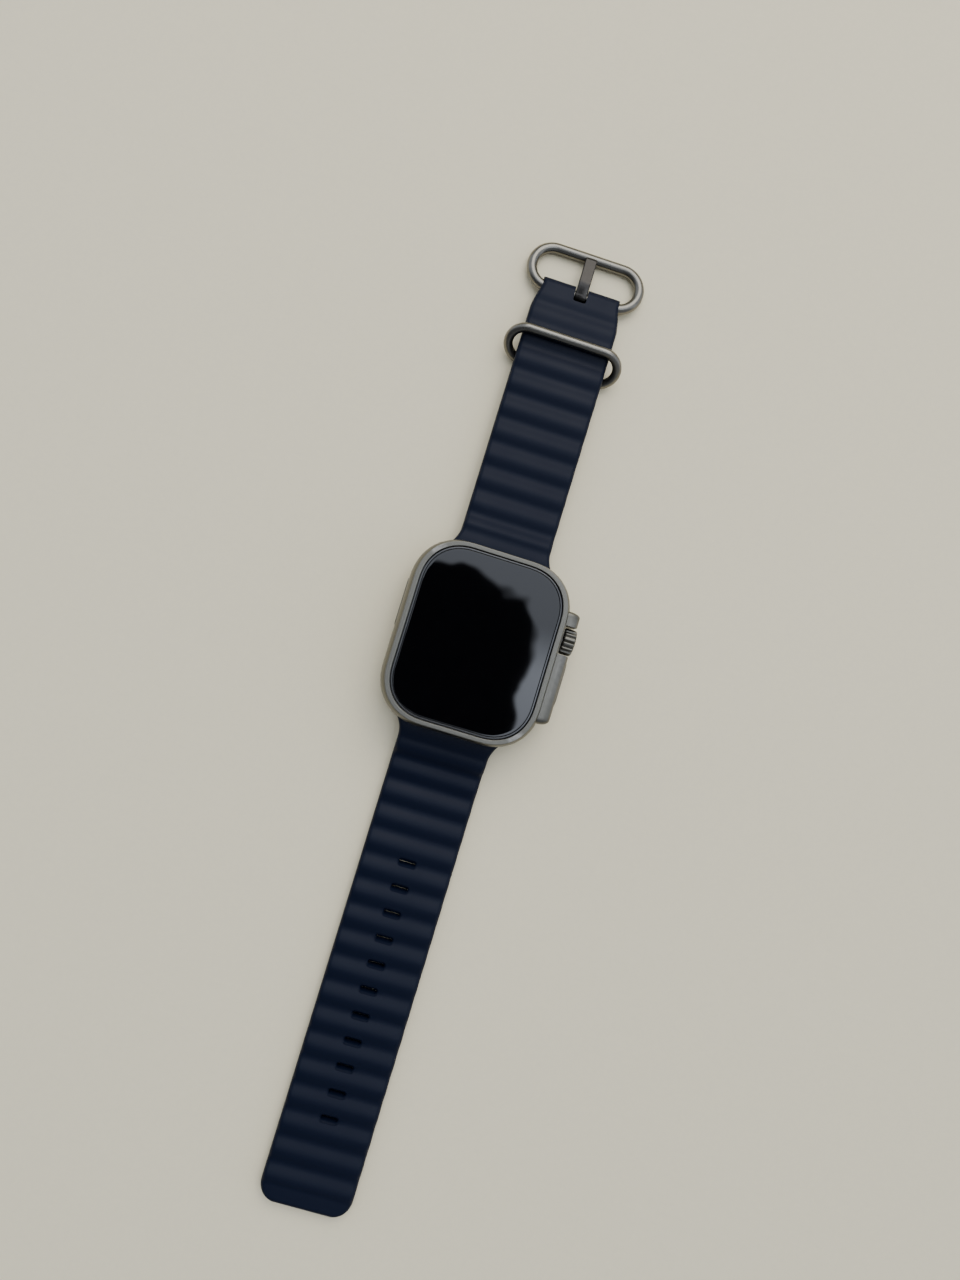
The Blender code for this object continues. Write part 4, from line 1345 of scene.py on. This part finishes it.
@dataclass
class TailRun(StrapRun):
    """The long half: a slot in each of eleven valleys and a plain tip with round corners."""

    slot_valleys: range = range(4, 15)
    slot_half: tuple[float, float] = (2.2, 0.6)
    slot_waist: float = 0.2
    tip_corner: float = 5.0
    tip_thick: float = 1.5
    nose: float = 1.2

    def section(self, distance: Array) -> tuple[Array, Array]:
        """Rounds the tip in plan and thins it over its last stretch.

        Args:
            distance: places along the strap, from the case edge.

        Returns:
            The half widths and half thicknesses.
        """
        width, thick = super().section(distance)
        tip = np.maximum(self.end - distance, 0.0)
        short = np.clip(self.tip_corner - tip, 0.0, self.tip_corner * 0.999)
        width = width - (self.tip_corner - np.sqrt(self.tip_corner ** 2 - short ** 2))
        thick = thick + (self.tip_thick - thick) * (1 - smoothstep(3.6, 6.0, tip))
        nose = np.clip(self.nose - tip, 0.0, self.nose - 0.01)
        return width, thick * (0.25 + 0.75 * np.sqrt(1 - (nose / self.nose) ** 2))

    def stations(self, start: float, end: float) -> Array:
        """Closes the stations up towards the tip.

        Args:
            start: where the piece begins.
            end: where the piece ends.

        Returns:
            Places along the strap.
        """
        if end < self.end - 0.01:
            return super().stations(start, end)
        last = self.end - self.tip_corner
        share = np.sin(np.linspace(0.0, math.pi / 2, 26))[1:]
        return np.concatenate((super().stations(start, last), last + self.tip_corner * share))

    def cuts(self, start: float, end: float) -> list[bpy.types.Object]:
        """Slots through the valleys, narrow below and flared where they leave the top.

        Args:
            start: where the piece begins.
            end: where the piece ends.

        Returns:
            A cutting shape for each slot between the two ends.
        """
        found = []
        for index in self.slot_valleys:
            middle = self.valley_place(index)
            if not start < middle < end:
                continue
            y, z, _, _ = self.place_at(np.array([middle]))
            top = float(z[0]) + self.valley
            half, radius = self.slot_half
            rings = ((-2.0, half, self.slot_waist), (top - 1.3, half, self.slot_waist),
                     (top - 0.5, half, radius), (top - 0.08, half + 0.16, radius + 0.16),
                     (top + 0.12, half + 0.5, radius + 0.5), (top + 3.0, half + 1.5, radius + 1.5))
            found.append(slot_prism(f"slot_{index}", rings, (0, float(y[0]), 0)))
        return found


# ---------------------------------------------------------------- wire buckle and keeper


@dataclass
class WireRing:
    """A closed stadium of round wire, like the buckle frame and the keeper loop."""

    name: str
    node: str
    body: str
    pivot: tuple[float, float]
    tilt: float
    height: float
    wire: float
    half_length: float = 14.95

    def surface(self) -> Array:
        """A circle carried round the stadium.

        The centre line runs straight for its length, then turns on half the height at each end,
        and the circle stands square to it.

        Returns:
            Points of shape (places, points round, 3).
        """
        radius = self.height / 2
        straight = self.half_length - radius
        turn = np.linspace(-math.pi / 2, math.pi / 2, 41)
        run = np.linspace(-straight, straight, 13)[1:-1]
        bend = np.stack((straight + radius * np.cos(turn), radius + radius * np.sin(turn)), axis=-1)
        top = np.stack((run[::-1], np.full_like(run, self.height)), axis=-1)
        line = np.concatenate((bend, top, bend * (-1, -1) + (0, self.height), top[::-1] * (1, 0)))
        round_end = np.stack((np.cos(turn), np.sin(turn)), axis=-1)
        upright = np.tile((0.0, 1.0), (len(run), 1))
        outward = np.concatenate((round_end, upright, -round_end, -upright))
        round_wire = np.linspace(0.0, math.tau, 28, endpoint=False)
        flat = line[:, None, :] + self.wire * np.cos(round_wire)[None, :, None] * outward[:, None, :]
        lift = self.wire * np.sin(round_wire)[None, :] + 0 * flat[..., 0]
        y = self.pivot[0] + flat[..., 1] * math.cos(self.tilt) - lift * math.sin(self.tilt)
        z = self.pivot[1] + flat[..., 1] * math.sin(self.tilt) + lift * math.cos(self.tilt)
        return np.stack((flat[..., 0], y, z), axis=-1)

    def build(self) -> None:
        """Makes the ring and rides it on its body."""
        ring = make_mesh(self.name, self.surface(), wrap_rows=True)
        place(ring, self.body, "wire_titanium", SATIN_WIRE, self.node)


@dataclass
class Tongue:
    """The flat bar that wraps the buckle's bar and rests on the far side of its frame."""

    half_width: float = 1.6
    knuckle: float = 2.1
    bore: float = 1.55
    reach: float = 10.7
    arch: float = 0.5

    def build(self) -> None:
        """Sweeps a rounded strip: round the bar, then out to the tip.

        The strip's middle line is a circle about the bar from below its front round the back to
        its top, then a shallow arch, the parabola 4 t (1 - t) times its rise, that sinks and thins
        out to the tip.
        """
        pivot = joint_place("tongue_pivot")
        middle = (self.knuckle + self.bore) / 2
        turn = np.radians(np.linspace(-38.0, -270.0, 40))
        round_y, round_z = middle * np.cos(turn), middle * np.sin(turn)
        share = np.linspace(0.0, 1.0, 34)[1:]
        run = share * self.reach
        line_y = np.concatenate((round_y, run))
        drop = (middle - 1.18) * smoothstep(0.0, 1.0, share * 0.92) / smoothstep(0.0, 1.0, np.array(0.92))
        line_z = np.concatenate((round_z, middle - drop + self.arch * 4.0 * share * (1.0 - share)))
        wrap = len(turn)
        half = np.concatenate((np.full(wrap, (self.knuckle - self.bore) / 2),
                               0.275 + 0.29 * smoothstep(0.02, 0.35, share)))
        line_z[wrap:] -= 0.12 * smoothstep(0.02, 0.4, share)
        tip = np.clip((run - (self.reach - 0.7)) / 0.7, 0.0, 0.999)
        half[wrap:] *= np.sqrt(1 - tip ** 2 * 0.92)
        width = np.full(len(half), self.half_width)
        width[wrap:] -= 0.75 * (1 - np.sqrt(1 - tip ** 2))
        dy, dz = np.gradient(line_y), np.gradient(line_z)
        length = np.hypot(dy, dz)
        normal = np.stack((dz / length, -dy / length), axis=-1)
        edge = np.minimum(half * 0.9, 0.3)
        quarter = np.linspace(0.0, math.pi / 2, 6)
        across = (width - edge)[:, None] + edge[:, None] * np.cos(quarter)
        lift = (half - edge)[:, None] + edge[:, None] * np.sin(quarter)
        ring_a = np.concatenate((across, -across[:, ::-1], -across, across[:, ::-1]), axis=1)
        ring_l = np.concatenate((lift, lift[:, ::-1], -lift, -lift[:, ::-1]), axis=1)
        points = np.stack((ring_a, pivot[1] + line_y[:, None] + ring_l * normal[:, :1],
                           pivot[2] + line_z[:, None] + ring_l * normal[:, 1:]), axis=-1)
        bar = make_mesh("tongue_bar", points, crease=50.0)
        # Painted reflection: the tongue's darkened copy of the wire titanium stands in for dark reflections
        # on its faces.
        place(bar, "tongue", "wire_titanium", TONGUE_TITANIUM_PAINTED_DARK, "buckle_tongue")


# ---------------------------------------------------------------- carried-over solids


CARRIED = {
    SEAL: ("display_gasket", "back_gasket", "crown_seal", "side_button_seal", "action_button_seal"),
    PLASTIC: ("display_panel", "battery", "speaker_module", "speaker_mesh", "crown_switch",
              "side_button_switch", "action_button_switch"),
    COPPER: ("display_flex", "charging_coil", "crown_bush"),
    BOARD: ("logic_board", "sensor_board"),
    STEEL: ("haptic_motor", "microphone", "alignment_magnet", "back_screw_1", "back_screw_2", "back_screw_3",
            "back_screw_4", "crown_pusher", "crown_shaft", "crown_encoder_ring", "buckle_lug", "tail_lug",
            "buckle_latch_pin", "tail_latch_pin"),
    CERAMIC: ("back_cover",),
    BLASTED_TITANIUM: ("buckle_release_button", "tail_release_button"),
    LENS: ("sensor_emitter_1", "sensor_emitter_2", "sensor_emitter_3", "sensor_emitter_4"),
}


def dress_carried_solids() -> None:
    """Gives every CAD solid that stays its finish."""
    for finish, names in CARRIED.items():
        for name in names:
            dress(frame["nodes"][name], finish)
        LOG.info("%s on %d solids", finish.name, len(names))


def main() -> None:
    """Builds the studio and then the watch, sub-assembly by sub-assembly."""
    logging.basicConfig(level=logging.INFO, format="%(name)s %(message)s")
    studio = Studio()
    studio.camera()
    studio.build()

    case = Case()
    case.build()
    FrontCrystal(case).build()
    Crown().build()
    PushKey("side_button_key", "side_button", side=1, depth=1.85).build()
    PushKey("action_button_key", "action_button", side=-1, depth=0.95).build()
    Back().build()

    BuckleRun(half=Half.BUCKLE, first_valley=1.7, pitch=6.83, hinge_valleys=(1, 3, 5),
              seams=(2, 4), end=75.49,
              route=((23.4, 6.0), (25.4, 5.93), (28.5, 5.35), (33.0, 4.8), (40.0, 4.65), (60.0, 4.65),
                     (80.0, 4.65), (86.5, 4.2), (92.5, 2.95), (97.3, 2.42), (100.5, 2.42))).build()
    TailRun(half=Half.TAIL, first_valley=10.0, pitch=6.78, hinge_valleys=(0, 2, 4.5, 7.5, 10.5, 13.5),
            seams=(1, 3, 5.5, 8.5, 11.5), end=126.9,
            route=((23.4, 6.0), (25.4, 5.9), (28.5, 4.9), (32.0, 3.35), (37.0, 2.25), (44.0, 1.95),
                   (60.0, 1.93), (158.0, 1.93))).build()

    _, bar_y, bar_z = joint_place("buckle_pivot")
    WireRing("buckle_wire", "buckle_frame", "buckle", pivot=(bar_y, bar_z), height=11.4, wire=1.4,
             tilt=-math.asin((bar_z - 1.42) / 11.4)).build()
    WireRing("keeper_wire", "keeper_loop", "keeper", pivot=(76.6, 1.27), height=9.4, wire=1.25,
             tilt=math.radians(47)).build()
    Tongue().build()
    dress_carried_solids()


if __name__ == "__main__":
    main()
